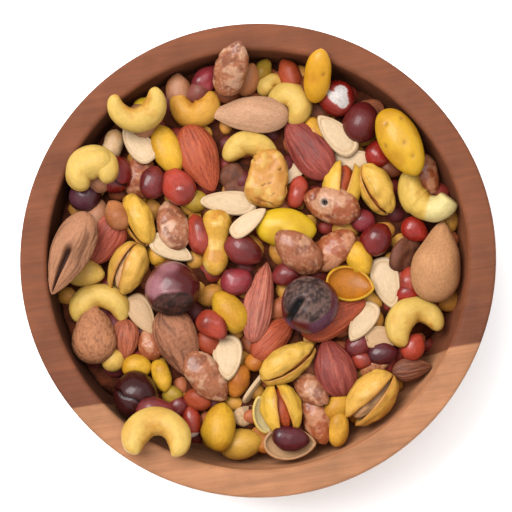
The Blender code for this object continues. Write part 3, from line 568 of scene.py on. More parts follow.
# The pieces that are propped up: on the rim, or between their neighbours. They are given in the
# same way, with the height of the middle of each after x and y.
PROPPED = (
    ("open_cashew", -55.0, -16.8, 50.4, 0, 23.4, 8.6, 0, 0, "butter"),
    ("peanut", -20.2, 7.8, 53.6, 105, 15.2, 8.8, 0, 0, "brick"),
    ("peanut", -36.0, -55.0, 59.4, 10, 14.0, 11.0, 0, 0, "maroon"),
    ("peanut", -9.0, 63.0, 54.0, 75, 12.0, 10.0, 0, 0, "tan"),
    ("peanut", 21.0, 61.5, 54.0, 80, 12.0, 9.5, 0, 0, "chestnut"),
    ("peanut", -40.5, 48.5, 54.5, 120, 13.0, 11.0, 0, 0, "tan"),
    ("peanut", -57.0, 29.5, 57.2, 120, 13.0, 11.0, 0, 0, "tan"),
    ("peanut", -65.5, 3.0, 54.0, 80, 14.0, 11.0, 0, 0, "tan"),
    ("peanut", 53.0, 42.0, 52.0, -60, 16.0, 11.0, 0, 0, "chestnut"),
    ("cashew", -42.8, 53.2, 63.0, 190, 22.6, 8.4, 0, -26, "butter"),
    ("folded_cashew", -59.4, 33.0, 63.9, 15, 18.0, 9.0, 0, -16, "butter"),
    ("gold_almond", 51.4, 41.0, 59.5, -63, 26.4, 14.8, 0, 0, "spotted"),
    ("slit_almond", -67.0, 2.0, 62.6, 247, 32.0, 15.6, 0, 14, "slit"),
    ("candied", -9.2, 68.4, 62.0, 68, 22.0, 11.8, 30, 0, "sugared"),
    ("gold_almond", 22.0, 65.4, 61.5, 82, 20.6, 10.2, 30, 0, "saffron"),
    ("curled_cashew", -35.4, -61.8, 66.4, -4, 25.2, 9.2, 0, -26, "butter"),
)


def bed_height(x, y):
    """Height of the bed that the pieces which show lie on: a dome, higher on one side."""
    uphill = math.radians(BED_UPHILL)
    across = (x * math.cos(uphill) + y * math.sin(uphill)) / BED_REACH
    fall = (x * x + y * y) / BED_REACH**2
    return BED_CENTRE - (BED_CENTRE - BED_EDGE) * fall + BED_TILT * across


def narrowing(u, kind):
    """Share of the full width at u, from -1 at the blunt end to 1 at the tip."""
    blunt, tip = 0.5, 0.5 + kind.taper
    widest = (blunt - tip) / (blunt + tip)
    peak = (1 + widest) ** blunt * (1 - widest) ** tip
    waist = 1 - kind.waist * np.exp(-((u / 0.42) ** 2))
    return np.maximum(1 + u, 0.0) ** blunt * np.maximum(1 - u, 0.0) ** tip / peak * waist


def bent(points, u, length, width, bend):
    """Carries points beside a straight centreline to the same places beside a bent one."""
    half = math.radians(bend) / 2
    arc_radius = (length - width) / (2 * math.sin(min(half, math.pi / 2)))
    turn = u * half
    top = arc_radius + width / 2
    low = arc_radius * math.cos(half) - width / 2
    reach = arc_radius + points[..., 1]
    across = reach * np.cos(turn) - (top + low) / 2
    return np.stack([reach * np.sin(turn), across, points[..., 2]], axis=-1)


def past_bend(length, width, bend):
    """How far a bent piece runs past the ends of its bend with its round ends, as a share."""
    half = math.radians(bend) / 2
    arc_radius = (length - width) / (2 * math.sin(min(half, math.pi / 2)))
    return 1 + width / (2 * arc_radius * half)


def fullness(u):
    """Share of the full width at u of a bent piece, which keeps its width almost to its ends."""
    return np.maximum(1 - np.abs(u) ** END_POWER, 0.0) ** (1 / END_ROUND) * (1 - END_TAPER * u)


def piece_blobs(kind_name, length, width):
    """The piece as a few ellipsoids (centre, half axes), which is enough to see how it lies."""
    kind = KINDS[kind_name]
    half = np.array([length, width, width * kind.thickness]) / 2
    if kind.bend:
        ball = np.array([half[1], half[1], half[2]]) * 0.95
        middles = [
            bent(np.zeros(3), u, length, width, kind.bend) for u in (-1.0, -0.5, 0.0, 0.5, 1.0)
        ]
        return [(middle, ball) for middle in middles]
    back = 0.55 * max(kind.taper, 0.0)
    blobs = [(np.array([-back * half[0], 0, 0]), half * (1 - back, 1, 1))]
    if kind.taper > TAPERED:
        slim = float(narrowing(np.array(TIP_AT), kind))
        blobs.append((np.array([TIP_AT * half[0], 0, 0]), half * (1 - TIP_AT, slim, slim)))
    return blobs


def behind(seen_x, seen_y, z):
    """The point at height z that the eye sees at this point of the rim's plane."""
    along = (z - EYE[2]) / (BOWL_HEIGHT - EYE[2])
    return EYE[0] + (seen_x - EYE[0]) * along, EYE[1] + (seen_y - EYE[1]) * along


def sphere_probes(count):
    """Points spread evenly over a unit sphere."""
    i = np.arange(count) + 0.5
    polar = np.arccos(1 - 2 * i / count)
    turn = np.pi * (1 + math.sqrt(5)) * i
    return np.stack([np.cos(turn) * np.sin(polar), np.sin(turn) * np.sin(polar), np.cos(polar)], axis=1)


def attitude(heading, pitch, roll):
    """Rotation matrix of a piece, from degrees."""
    return np.array(
        Matrix.Rotation(math.radians(heading), 3, "Z")
        @ Matrix.Rotation(math.radians(-pitch), 3, "Y")
        @ Matrix.Rotation(math.radians(roll), 3, "X")
    )


class Heap:
    """The heap's surface as a grid of heights, on which each piece in turn is laid."""

    def __init__(self):
        line = np.arange(-GRID_REACH, GRID_REACH, GRID_STEP)
        self.x, self.y = np.meshgrid(line, line, indexing="ij")
        self.inside = np.hypot(self.x, self.y) < INNER_RADIUS - PIECE_GAP
        self.height = np.where(self.inside, bed_height(self.x, self.y), BOWL_HEIGHT)
        self.probes = sphere_probes(PROBES)

    def spans(self, blobs, turn, x, y):
        """Lowest and highest surface of the turned blobs over each grid point, or NaN."""
        low = np.full(self.x.shape, np.nan)
        high = np.full(self.x.shape, np.nan)
        for centre, half in blobs:
            at = turn @ centre
            shape = turn @ np.diag(half**2) @ turn.T
            flat = np.linalg.inv(shape[:2, :2])
            dx, dy = self.x - x - at[0], self.y - y - at[1]
            near = flat[0, 0] * dx * dx + 2 * flat[0, 1] * dx * dy + flat[1, 1] * dy * dy
            slope = shape[2, :2] @ flat
            rest = shape[2, 2] - slope @ shape[:2, 2]
            reach = np.sqrt(np.where(near < 1, (1 - near) * rest, np.nan))
            middle = at[2] + slope[0] * dx + slope[1] * dy
            low = np.fmin(low, middle - reach)
            high = np.fmax(high, middle + reach)
        return low, high

    def lean(self, blobs, turn, x, y):
        """Rotation that lays a level piece along the heap's mean slope under it."""
        low, _ = self.spans(blobs, turn, x, y)
        under = ~np.isnan(low) & self.inside
        rows = np.stack([self.x[under] - x, self.y[under] - y, np.ones(under.sum())], axis=1)
        slope = np.linalg.lstsq(rows, self.height[under], rcond=None)[0][:2]
        slope = slope * min(1.0, LEAN_MOST / max(np.hypot(*slope), 1e-9))
        normal = Vector((-slope[0], -slope[1], 1.0)).normalized()
        return np.array(Vector((0, 0, 1)).rotation_difference(normal).to_matrix())

    def rest_height(self, blobs, turn, x, y, flat):
        """Height of the piece's origin when it lies on the heap, sunk a little where it meets it."""
        low, high = self.spans(blobs, turn, x, y)
        under = ~np.isnan(low) & self.inside
        share = FLAT_SEAT_SHARE if flat else SEAT_SHARE
        seat = np.quantile((self.height - low)[under], share)
        ceiling = bed_height(x, y) + RISE_MOST - np.nanmax(high)
        return min(seat, ceiling) - (FLAT_SINK if flat else SINK)

    def in_wall(self, blobs, turn, x, y, z):
        """How far the piece reaches into the bowl's wall, with its gap."""
        most = 0.0
        for centre, half in blobs:
            points = (self.probes * half + centre) @ turn.T + (x, y, z)
            for px, py, pz in points:
                if pz < BOWL_HEIGHT + PIECE_GAP:
                    free = bowed_radius(BOWL_HEIGHT - pz, INNER_RADIUS, INNER_DEPTH)
                    most = max(most, math.hypot(px, py) + PIECE_GAP - free)
        return most

    def lay(self, kind_name, seen_x, seen_y, heading, length, width, pitch, roll):
        """Lays one piece and returns its turn and its place."""
        blobs = piece_blobs(kind_name, length, width)
        flat = KINDS[kind_name].thickness < FLAT
        turn = attitude(heading, pitch, roll)
        turn = self.lean(blobs, turn, seen_x, seen_y) @ turn
        x, y = seen_x, seen_y
        for step in range(PUSH_ROUNDS):
            z = self.rest_height(blobs, turn, x, y, flat)
            x, y = behind(seen_x, seen_y, z)
            inward = 1 - step * SHIFT_STEP / math.hypot(x, y)
            x, y = x * inward, y * inward
            if self.in_wall(blobs, turn, x, y, z) <= 0:
                break
        _, high = self.spans(blobs, turn, x, y)
        self.height = np.fmax(self.height, high + z)
        return turn, np.array((x, y, z))


Laid = namedtuple("Laid", "kind length width turn spot look number")
heap = Heap()
laid_pieces = []
for kind_name, x, y, heading, length, width, pitch, roll, look in PIECES:
    size = (length * MM, width * MM)
    turn, spot = heap.lay(kind_name, x * MM, y * MM, heading, *size, pitch, roll)
    laid_pieces.append(Laid(kind_name, *size, turn, spot, look, len(laid_pieces)))
for kind_name, x, y, z, heading, length, width, pitch, roll, look in PROPPED:
    spot = np.array((*behind(x * MM, y * MM, z * MM), z * MM))
    turn = attitude(heading, pitch, roll)
    laid_pieces.append(
        Laid(kind_name, length * MM, width * MM, turn, spot, look, len(laid_pieces))
    )


def laid_of(*kind_names):
    """The laid pieces of these kinds."""
    return [laid for laid in laid_pieces if laid.kind in kind_names]


def ring_grid(rings, sides):
    """How far along its length (-1 to 1) and round it each point of a nut's skin lies."""
    along = -np.cos(np.linspace(0, math.pi, rings + 1))
    return np.meshgrid(along, np.arange(sides) * math.tau / sides, indexing="ij")


def skin_points(u, turn, share, length, width, thickness):
    """Points of a skin whose half width at u is that share of the full half width."""
    return np.stack(
        [u * length / 2, share * np.cos(turn) * width / 2, share * np.sin(turn) * thickness / 2],
        axis=-1,
    )


def full_skin(laid, u, turn, share):
    """Skin points of a laid piece at its own length, width and thickness."""
    return skin_points(u, turn, share, laid.length, laid.width, laid.width * KINDS[laid.kind].thickness)


def outward(points):
    """Unit normals of a grid of skin points."""
    along = np.gradient(points, axis=0)
    across = np.roll(points, -1, axis=1) - np.roll(points, 1, axis=1)
    normal = np.cross(across, along)
    normal /= np.maximum(np.linalg.norm(normal, axis=-1, keepdims=True), 1e-15)
    for end, beside in ((0, 1), (-1, -2)):
        mean = normal[beside].mean(axis=0)
        normal[end] = mean / max(np.linalg.norm(mean), 1e-15)
    return normal


def raised(points, amount):
    """Skin points moved outwards by an amount in metres."""
    return points + outward(points) * amount[..., None]


def blend(first, second, share):
    """Two colours, or arrays of them, mixed by an array of shares."""
    return first + (second - first) * np.clip(share, 0, 1)[..., None]


def step_up(value, low, high):
    """A smooth step from 0 at low to 1 at high."""
    share = np.clip((value - low) / (high - low), 0, 1)
    return share * share * (3 - 2 * share)


def noise_of(points, size, seed, stretch=1.0):
    """Smooth noise over a nut's own points, for features of a size, drawn out along its length."""
    shift = np.random.default_rng(seed).uniform(3, 9, 3)
    return smooth_noise(points / (size * stretch, size, size) + shift + 20, seed)


def veins_of(u, turn, count, seed, drift=0.25):
    """Noise in lines that run from one end of a nut to the other."""
    shift = np.random.default_rng(seed).uniform(3, 9)
    lie = np.stack([u * 1.6 + shift, np.cos(turn), np.sin(turn)], axis=-1) + 20
    wander = turn + drift * smooth_noise(lie, seed + 7)
    ring = count / math.tau
    at = np.stack([np.cos(wander) * ring + 30, np.sin(wander) * ring + 30, u * 1.5 + shift], axis=-1)
    return smooth_noise(at, seed)


class Skins:
    """Skins of nuts of one kind, gathered for one mesh."""

    def __init__(self):
        self.points, self.faces, self.tints, self.sheens, self.locals = [], [], [], [], []
        self.count = 0

    def add(self, laid, grid, tint, roughness, own=None):
        """Puts one finished skin in its place, with its colours, roughness and own points."""
        points, faces = closed_skin(grid @ laid.turn.T + laid.spot)
        self.points.append(points)
        self.faces += [tuple(corner + self.count for corner in face) for face in faces]
        self.count += len(points)
        self.tints.append(flat_rows(np.broadcast_to(tint, (*grid.shape[:2], 3))))
        self.sheens.append(flat_rows(np.broadcast_to(roughness, grid.shape[:2])))
        shift = np.random.default_rng(laid.number).uniform(0.1, 0.4, 3)
        self.locals.append(flat_rows(grid if own is None else own) + shift)

    def finish(self, name, material):
        """One mesh object of all the skins, which rides with the bowl and stands for the heap."""
        made = mesh_object(name, np.concatenate(self.points), self.faces, material)
        tints = np.concatenate(self.tints)
        tints = np.concatenate([np.clip(tints, 0, 1), np.ones((len(tints), 1))], axis=1)
        values = (
            ("tint", "FLOAT_COLOR", "color", tints),
            ("sheen", "FLOAT", "value", np.concatenate(self.sheens)),
            ("own_place", "FLOAT_VECTOR", "vector", np.concatenate(self.locals)),
        )
        for attribute_name, kind, field, numbers in values:
            attribute = made.data.attributes.new(attribute_name, kind, "POINT")
            attribute.data.foreach_set(field, np.ascontiguousarray(numbers, np.float32).ravel())
        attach(made, "root")
        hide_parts("trail_mix")
        return made


def dress(name, kind_names, skin, material):
    """One mesh of all laid pieces of these kinds, each with the skin that the function makes."""
    skins = Skins()
    for laid in laid_of(*kind_names):
        skins.add(laid, *skin(laid))
    return skins.finish(name, material)


SKIN_DEPTH = 0.455
SKIN_GAMMA = 1.15
SKIN_SPECULAR = 0.2
COAT_ROUGHNESS = 0.12


def skin_material(name, fibre, fibre_depth, blotch_size, blotch_depth, relief, coat=0.0):
    """A nut's skin: its tint with fibres (length, width) and blotches over it, and relief of both."""
    skin, tree, shader = new_material(name)
    tint = add_node(tree, "ShaderNodeAttribute", attribute_name="tint").outputs["Color"]
    sheen = add_node(tree, "ShaderNodeAttribute", attribute_name="sheen").outputs["Fac"]
    own = add_node(tree, "ShaderNodeAttribute", attribute_name="own_place").outputs["Vector"]
    deep = add_node(tree, "ShaderNodeGamma", {"Color": tint, "Gamma": SKIN_GAMMA}).outputs[0]
    lines = streaks_of(tree, own, fibre, 1.8)
    cloud = blotches_of(tree, own, blotch_size, 1.8)
    mottle = maths(tree, "MULTIPLY", ramped(tree, cloud, 0.1, 0.9, -blotch_depth, blotch_depth), sheen)
    shade = maths(
        tree,
        "MULTIPLY",
        ramped(tree, lines, 0.1, 0.9, SKIN_DEPTH * (1 - fibre_depth), SKIN_DEPTH * (1 + fibre_depth)),
        maths(tree, "ADD", mottle, 1.0),
    )
    tree.links.new(shaded(tree, deep, shade), shader.inputs["Base Color"])
    tree.links.new(
        maths(tree, "ADD", sheen, ramped(tree, cloud, 0.0, 1.0, -0.08, 0.08)), shader.inputs["Roughness"]
    )
    height = maths(tree, "MULTIPLY_ADD", lines, 0.6, maths(tree, "MULTIPLY", cloud, 0.4))
    bump = add_node(tree, "ShaderNodeBump", {"Strength": 0.6, "Distance": relief, "Height": height})
    tree.links.new(bump.outputs[0], shader.inputs["Normal"])
    shader.inputs["Specular IOR Level"].default_value = SKIN_SPECULAR
    shader.inputs["Coat Weight"].default_value = coat
    shader.inputs["Coat Roughness"].default_value = COAT_ROUGHNESS
    return skin


# Shelled almonds: whole kernels in their brown skins, roasted dry. Long wrinkles run from the blunt
# end to the tip, pale on their crests with dust and painted highlight, and darker between them with
# painted shade.
ALMOND_SKINS = {
    "rust": (colour(202, 104, 80), colour(222, 138, 112), colour(150, 66, 48)),
    "plum": (colour(166, 80, 68), colour(194, 112, 94), colour(126, 52, 46)),
    "orange": (colour(194, 96, 62), colour(214, 124, 86), colour(150, 64, 40)),
    "pink": (colour(200, 118, 96), colour(226, 156, 130), colour(156, 80, 62)),
    "walnut": (colour(150, 92, 66), colour(184, 124, 92), colour(102, 58, 40)),
    "russet": (colour(190, 108, 76), colour(214, 140, 106), colour(138, 70, 46)),
}
BROAD_WRINKLES = 44
FINE_WRINKLES = 92
WRINKLE_DRIFT = 0.10
WRINKLE_DEPTH = 0.16 * MM
KERNEL_SWELL = 0.3 * MM


def almond_skin(laid, rings=56, sides=144):
    """Skin points, colours and roughness of a wrinkled almond kernel."""
    kind = KINDS[laid.kind]
    u, turn = ring_grid(rings, sides)
    points = full_skin(laid, u, turn, narrowing(u, kind))
    broad = veins_of(u, turn, BROAD_WRINKLES, laid.number, WRINKLE_DRIFT)
    fine = veins_of(u, turn, FINE_WRINKLES, laid.number + 50, WRINKLE_DRIFT)
    lumps = noise_of(points, 7 * MM, laid.number + 90)
    fade = np.sqrt(np.clip(1 - u * u, 0, 1))
    crest = broad * 0.5 + fine * 0.5
    points = raised(points, (crest * WRINKLE_DEPTH + lumps * KERNEL_SWELL) * fade)
    main, pale, dark = ALMOND_SKINS[laid.look]
    # Dust and painted highlight make the crests paler, and painted shade makes the creases between them
    # darker.
    tint = blend(main, pale, step_up(crest, 0.1, 0.75) * 0.6)
    tint = blend(tint, dark, step_up(-crest, 0.1, 0.8) * 0.6)
    tint = tint * (1 + 0.1 * lumps[..., None])
    return points, tint, 0.52 + 0.1 * crest


wrinkled = skin_material(
    "almond_skin",
    fibre=(7 * MM, 0.32 * MM),
    fibre_depth=0.26,
    blotch_size=1.6 * MM,
    blotch_depth=0.14,
    relief=0.16 * MM,
)
dress("shelled_almonds", ("almond",), almond_skin, wrinkled)

# Almonds in their shells: a woody tan husk with a keel along one edge, pits and fine fibres, with
# painted shade in the pits and between the fibres and painted light on the fibre crests. One has
# opened along its keel to a slit, painted dark as painted shade.
SHELL_LOOKS = {
    "smooth": (colour(226, 178, 142), colour(190, 132, 96), 0.10, 0.25),
    "sanded": (colour(212, 158, 112), colour(176, 118, 76), 0.12, 0.20),
    "pitted": (colour(206, 144, 104), colour(138, 84, 54), 0.75, 0.30),
    "fibrous": (colour(190, 130, 98), colour(112, 66, 44), 0.55, 0.95),
    "slit": (colour(204, 148, 112), colour(118, 72, 48), 0.15, 0.85),
}
SLIT_PAINTED_SHADE = colour(74, 36, 20)
SLIT_AT = 0.46
SLIT_WIDE = 0.16
SLIT_DEEP = 2.2 * MM
LIP_AWAY = 1.7
LIP_WIDE = 0.12
LIP_HIGH = 0.5 * MM
KEEL_WIDE = 0.2
KEEL_HIGH = 0.35 * MM
SHELL_SWELL = 0.45 * MM
SHELL_FIBRE_HIGH = 0.22 * MM
PIT_SIZE = 0.7 * MM
PIT_DEEP = 0.26 * MM


def shell_almond_skin(laid, rings=112, sides=112):
    """Skin points, colours and roughness of an almond in its shell."""
    kind = KINDS[laid.kind]
    u, turn = ring_grid(rings, sides)
    points = full_skin(laid, u, turn, narrowing(u, kind))
    base, pit_painted_shade, pitting, fibre = SHELL_LOOKS[laid.look]
    veins = veins_of(u, turn, 22, laid.number, 0.5) * 0.6
    veins = veins + veins_of(u, turn, 48, laid.number + 40, 0.4) * 0.4
    grains = noise_of(points, PIT_SIZE, laid.number + 10, 1.5)
    pits = step_up(grains, 0.12, 0.55)
    lumps = noise_of(points, 8 * MM, laid.number + 20)
    fade = np.clip(1 - u * u, 0, 1) ** 0.5
    keel = np.exp(-(((turn + math.pi) % math.tau - math.pi) / KEEL_WIDE) ** 2)
    push = keel * KEEL_HIGH + lumps * SHELL_SWELL
    push = push + veins * fibre * SHELL_FIBRE_HIGH - pits * pitting * PIT_DEEP
    # Painted shade darkens the pits and the grooves between fibres, and painted light brightens the fibre
    # crests.
    tint = blend(base, pit_painted_shade, pits * pitting * 0.5)
    tint = blend(tint, pit_painted_shade, step_up(-veins, 0.0, 0.8) * fibre * 0.8)
    tint = blend(tint, base * 1.12, step_up(veins, 0.2, 0.8) * 0.5)
    tint = tint * (1 + 0.06 * lumps[..., None])
    if laid.look == "slit":
        away = np.abs(turn - math.pi * SLIT_AT)
        open_part = step_up(u, -0.25, 0.05) * (1 - step_up(u, 0.9, 0.99))
        slit = np.exp(-((away / SLIT_WIDE) ** 4)) * open_part
        lips = np.exp(-(((away - SLIT_WIDE * LIP_AWAY) / LIP_WIDE) ** 2)) * open_part
        push = push - slit * SLIT_DEEP + lips * LIP_HIGH
        # Painted shade: the open slit is painted dark brown.
        tint = blend(tint, SLIT_PAINTED_SHADE, slit * 1.2)
    return raised(points, push * fade), tint, 0.66 + 0.06 * veins


woody = skin_material(
    "almond_shell",
    fibre=(4 * MM, 0.3 * MM),
    fibre_depth=0.12,
    blotch_size=0.8 * MM,
    blotch_depth=0.16,
    relief=0.12 * MM,
)
dress("almonds_in_shell", ("shell_almond", "slit_almond"), shell_almond_skin, woody)

# Candied almonds: kernels tumbled in boiling sugar until it set in lumps. The glaze is brown and
# glossy, and pale where it is thick with sugar.
GLAZES = {
    "caramel": (colour(188, 108, 68), colour(222, 162, 122), colour(132, 68, 42), 0.26),
    "rosy": (colour(186, 118, 84), colour(222, 170, 134), colour(132, 76, 52), 0.34),
    "sugared": (colour(192, 124, 88), colour(230, 184, 150), colour(136, 80, 56), 0.48),
    "toffee": (colour(200, 130, 86), colour(226, 172, 128), colour(146, 86, 54), 0.32),
    "holed": (colour(186, 108, 70), colour(226, 176, 138), colour(124, 64, 42), 0.14),
}
HOLE_PAINTED_SHADE = colour(34, 16, 12)
PALE_SPOT = colour(220, 196, 180)
HOLE_TOWARDS = np.array((-0.52, 0.10, 0.85))
HOLE_WIDE = 0.20
HOLE_DEEP = 1.6 * MM
HOLE_RIM_HIGH = 0.3 * MM
SUGAR_SIZES = (3.8 * MM, 1.7 * MM, 0.8 * MM)
SUGAR_HEIGHTS = (0.20 * MM, 0.10 * MM, 0.03 * MM)
THICK_SIZE = 4.2 * MM
THICK_HIGH = 0.12 * MM


def candied_skin(laid, rings=68, sides=68):
    """Skin points, colours and roughness of a sugar-coated kernel."""
    kind = KINDS[laid.kind]
    u, turn = ring_grid(rings, sides)
    points = full_skin(laid, u, turn, narrowing(u, kind))
    lumps, knobs, specks = (
        noise_of(points, size, laid.number + 30 * step) for step, size in enumerate(SUGAR_SIZES)
    )
    main, sugar, dark, share = GLAZES[laid.look]
    patch = noise_of(points, THICK_SIZE, laid.number + 80) + knobs * 0.5
    thick = step_up(patch, 0.55 - share, 0.95 - share)
    push = sum(part * high for part, high in zip((lumps, knobs, specks), SUGAR_HEIGHTS))
    push = push + thick * THICK_HIGH
    tint = blend(main, dark, step_up(-lumps - knobs * 0.6, 0.1, 0.9) * 0.55)
    tint = blend(tint, sugar, thick * 0.7)
    tint = blend(tint, sugar, step_up(specks, 0.4, 0.8) * 0.5)
    if laid.look == "holed":
        facing = points / np.maximum(np.linalg.norm(points, axis=-1, keepdims=True), 1e-9)
        facing = facing @ laid.turn.T
        away = np.arccos(np.clip(facing @ HOLE_TOWARDS, -1, 1)) / HOLE_WIDE
        hole = np.exp(-(away**4))
        hole_rim = np.exp(-(((away - 1.5) / 0.4) ** 2))
        push = push - hole * HOLE_DEEP + hole_rim * HOLE_RIM_HIGH
        tint = blend(tint, PALE_SPOT, np.exp(-((away / 1.6) ** 4)))
        # Painted shade: the hole is painted nearly black.
        tint = blend(tint, HOLE_PAINTED_SHADE, hole * 1.3)
    points = raised(points, push * np.clip(1 - u * u, 0, 1) ** 0.3)
    return points, tint, 0.34 + 0.12 * thick


glaze = skin_material(
    "sugar_glaze",
    fibre=(2 * MM, 0.6 * MM),
    fibre_depth=0.06,
    blotch_size=0.9 * MM,
    blotch_depth=0.35,
    relief=0.10 * MM,
    coat=0.22,
)
dress("candied_almonds", ("candied",), candied_skin, glaze)

# Almonds in yellow sugar: kernels tumbled in syrup until a smooth hard coat had built up, and then
# polished to a dull gloss. A few brown dents show where they stuck together.
COATS = {
    "lemon": (colour(242, 200, 48), colour(206, 152, 32)),
    "spotted": (colour(240, 190, 50), colour(204, 138, 34)),
    "saffron": (colour(238, 178, 42), colour(208, 130, 28)),
}
DENT_COLOUR = colour(150, 92, 40)
DENT_SIZE = 0.75 * MM
DENT_DEEP = 0.4 * MM


def coated_skin(laid, rings=56, sides=56):
    """Skin points, colours and roughness of an almond in a smooth yellow coat."""
    kind = KINDS[laid.kind]
    u, turn = ring_grid(rings, sides)
    points = full_skin(laid, u, turn, narrowing(u, kind))
    lumps = noise_of(points, 6 * MM, laid.number)
    push = lumps * 0.3 * MM
    main, deep = COATS[laid.look]
    tint = blend(main, deep, step_up(-lumps, -0.1, 0.9) * 0.45)
    draw = np.random.default_rng(laid.number)
    for _ in range(5 if laid.look == "spotted" else 1):
        at = points[draw.integers(rings // 5, rings * 4 // 5), draw.integers(2, sides // 2 - 2)]
        near = np.exp(-(np.linalg.norm(points - at, axis=-1) / DENT_SIZE) ** 2)
        push = push - near * DENT_DEEP
        tint = blend(tint, DENT_COLOUR, near * 0.6)
    return raised(points, push), tint, 0.42 + 0 * u


dull_gloss = skin_material(
    "sugar_coat",
    fibre=(4 * MM, 0.9 * MM),
    fibre_depth=0.04,
    blotch_size=1.4 * MM,
    blotch_depth=0.12,
    relief=0.05 * MM,
    coat=0.12,
)
dress("coated_almonds", ("gold_almond",), coated_skin, dull_gloss)

# Cashews: curved kernels, roasted to a buttery yellow, thicker at one end. A faint seam runs round
# them where their two halves meet, and their inner curve and seam are browner with painted shade.
CASHEW_COLOURS = {
    "butter": (colour(240, 202, 112), colour(222, 160, 62)),
    "honey": (colour(236, 178, 78), colour(214, 138, 44)),
    "broken": (colour(238, 200, 104), colour(216, 156, 58)),
    "flat_arc": (colour(240, 202, 112), colour(222, 160, 62)),
}
BROKEN_FACE = colour(246, 226, 160)
STOUT_LENGTH = 18.1 * MM
STOUT = 1.24
FOLDED = 1.22
LOBE_SPOT = np.array((1.6, 0.6, 1.4)) * MM
FULL_MIDDLE = 0.10
FLAT_ARC_BEND = 95
SEAM_WIDE = 0.02
SEAM_DEEP = 0.22 * MM
CASHEW_SWELL = 0.55 * MM
DIMPLE_DEEP = 0.12 * MM
LOBE_SIZE = np.array((0.80, 1.20, 1.15))


def cashew_skin(laid, rings=76, sides=40):
    """Skin points, colours and roughness of a curved cashew."""
    kind = KINDS[laid.kind]
    bend = FLAT_ARC_BEND if laid.look == "flat_arc" else kind.bend
    u, turn = ring_grid(rings, sides)
    share = fullness(u) * (1 + FULL_MIDDLE * (1 - u * u))
    if laid.kind == "folded_cashew":
        share = share * FOLDED
    elif laid.look == "broken":
        share = np.where(u < 0, (1 - np.abs(u) ** 16) ** (1 / 4), share)
    elif laid.length < STOUT_LENGTH:
        share = share * STOUT
    points = full_skin(laid, u, turn, share)
    lumps = noise_of(points, 6 * MM, laid.number)
    dimples = noise_of(points, 2.2 * MM, laid.number + 11)
    seam = np.exp(-((np.abs(np.cos(turn)) - 1) / SEAM_WIDE) ** 2)
    points = raised(points, lumps * CASHEW_SWELL + dimples * DIMPLE_DEEP - seam * SEAM_DEEP)
    main, deep = CASHEW_COLOURS[laid.look]
    # Painted shade makes the inner curve of the bend and the seam browner.
    inner = step_up(-np.cos(turn), 0.2, 1.0)
    mottle = noise_of(points, 2.4 * MM, laid.number + 5)
    tint = blend(main, deep, inner * 0.55 + step_up(mottle, 0.2, 1.0) * 0.35)
    tint = blend(tint, deep, seam * 0.35)
    if laid.look == "broken":
        tint = blend(tint, BROKEN_FACE, step_up(-u, 0.25, 0.35))
    along = u * past_bend(laid.length, laid.width, bend)
    return bent(points, along, laid.length, laid.width, bend), tint, 0.52 + 0 * u, points


def folded_lobe(laid, rings=40, sides=40):
    """Skin points, colours and roughness of the lobe that fills a folded cashew's bend."""
    u, turn = ring_grid(rings, sides)
    size = LOBE_SIZE * (laid.length, laid.width, laid.width)
    points = skin_points(u, turn, fullness(u), *size)
    lumps = noise_of(points, 5 * MM, laid.number + 40)
    main, deep = CASHEW_COLOURS[laid.look]
    tint = blend(main, deep, step_up(lumps, 0.1, 1.0) * 0.4)
    return raised(points, lumps * 0.6 * MM) + LOBE_SPOT, tint, 0.52 + 0 * u


cashews = Skins()
for laid in laid_of("cashew", "open_cashew", "curled_cashew", "bent_cashew", "folded_cashew"):
    cashews.add(laid, *cashew_skin(laid))
    if laid.kind == "folded_cashew":
        cashews.add(laid, *folded_lobe(laid))
roasted_flesh = skin_material(
    "cashew_flesh",
    fibre=(4 * MM, 0.7 * MM),
    fibre_depth=0.05,
    blotch_size=1.3 * MM,
    blotch_depth=0.14,
    relief=0.07 * MM,
)
cashews.finish("cashews", roasted_flesh)

# Pistachios: two valves of hard shell, hinged at the blunt end and open at the tip, round a kernel.
# These were roasted with saffron, so their shells are yellow and their kernels ruddy.
VALVE_WALL = 0.85 * MM
VALVE_WIDTH = 0.92
VALVE_APART = 0.02
VALVE_SWELL = 0.26 * MM
VALVE_RIDGE = 0.16 * MM
KERNEL_SIZE = np.array((0.82, 0.64, 0.56))
PISTACHIO_LOOKS = {
    "gaping": (10, colour(244, 192, 94), colour(238, 186, 138)),
    "ruddy": (15, colour(248, 200, 84), colour(192, 88, 38)),
    "shut": (3, colour(244, 196, 92), colour(196, 114, 52)),
    "edged": (9, colour(248, 196, 84), colour(204, 122, 50)),
}
SHELL_EDGE = colour(206, 130, 60)
SHELL_LINING = colour(240, 204, 128)


def valve_grid(length, width, thickness, kind, rings=52, sides=30):
    """One half of a shell, y positive, with its wall: outside points first, then the inside."""
    u, _ = ring_grid(rings, 2 * sides)
    share = narrowing(u[:, :1], kind)
    sweep = np.linspace(-math.pi / 2, math.pi / 2, sides)
    outer = np.stack(
        [
            np.repeat(u[:, :1] * length / 2, sides, axis=1),
            share * np.cos(sweep) * width / 2,
            share * np.sin(sweep) * thickness / 2,
        ],
        axis=-1,
    )
    hollow = np.maximum(1 - 2 * VALVE_WALL / (np.maximum(share, 0.05) * width), 0.0)
    inner = outer[:, ::-1] * np.stack(
        [np.broadcast_to(1 - 2 * VALVE_WALL / length, hollow.shape), hollow, hollow], axis=-1
    )
    return np.concatenate([outer, inner], axis=1)


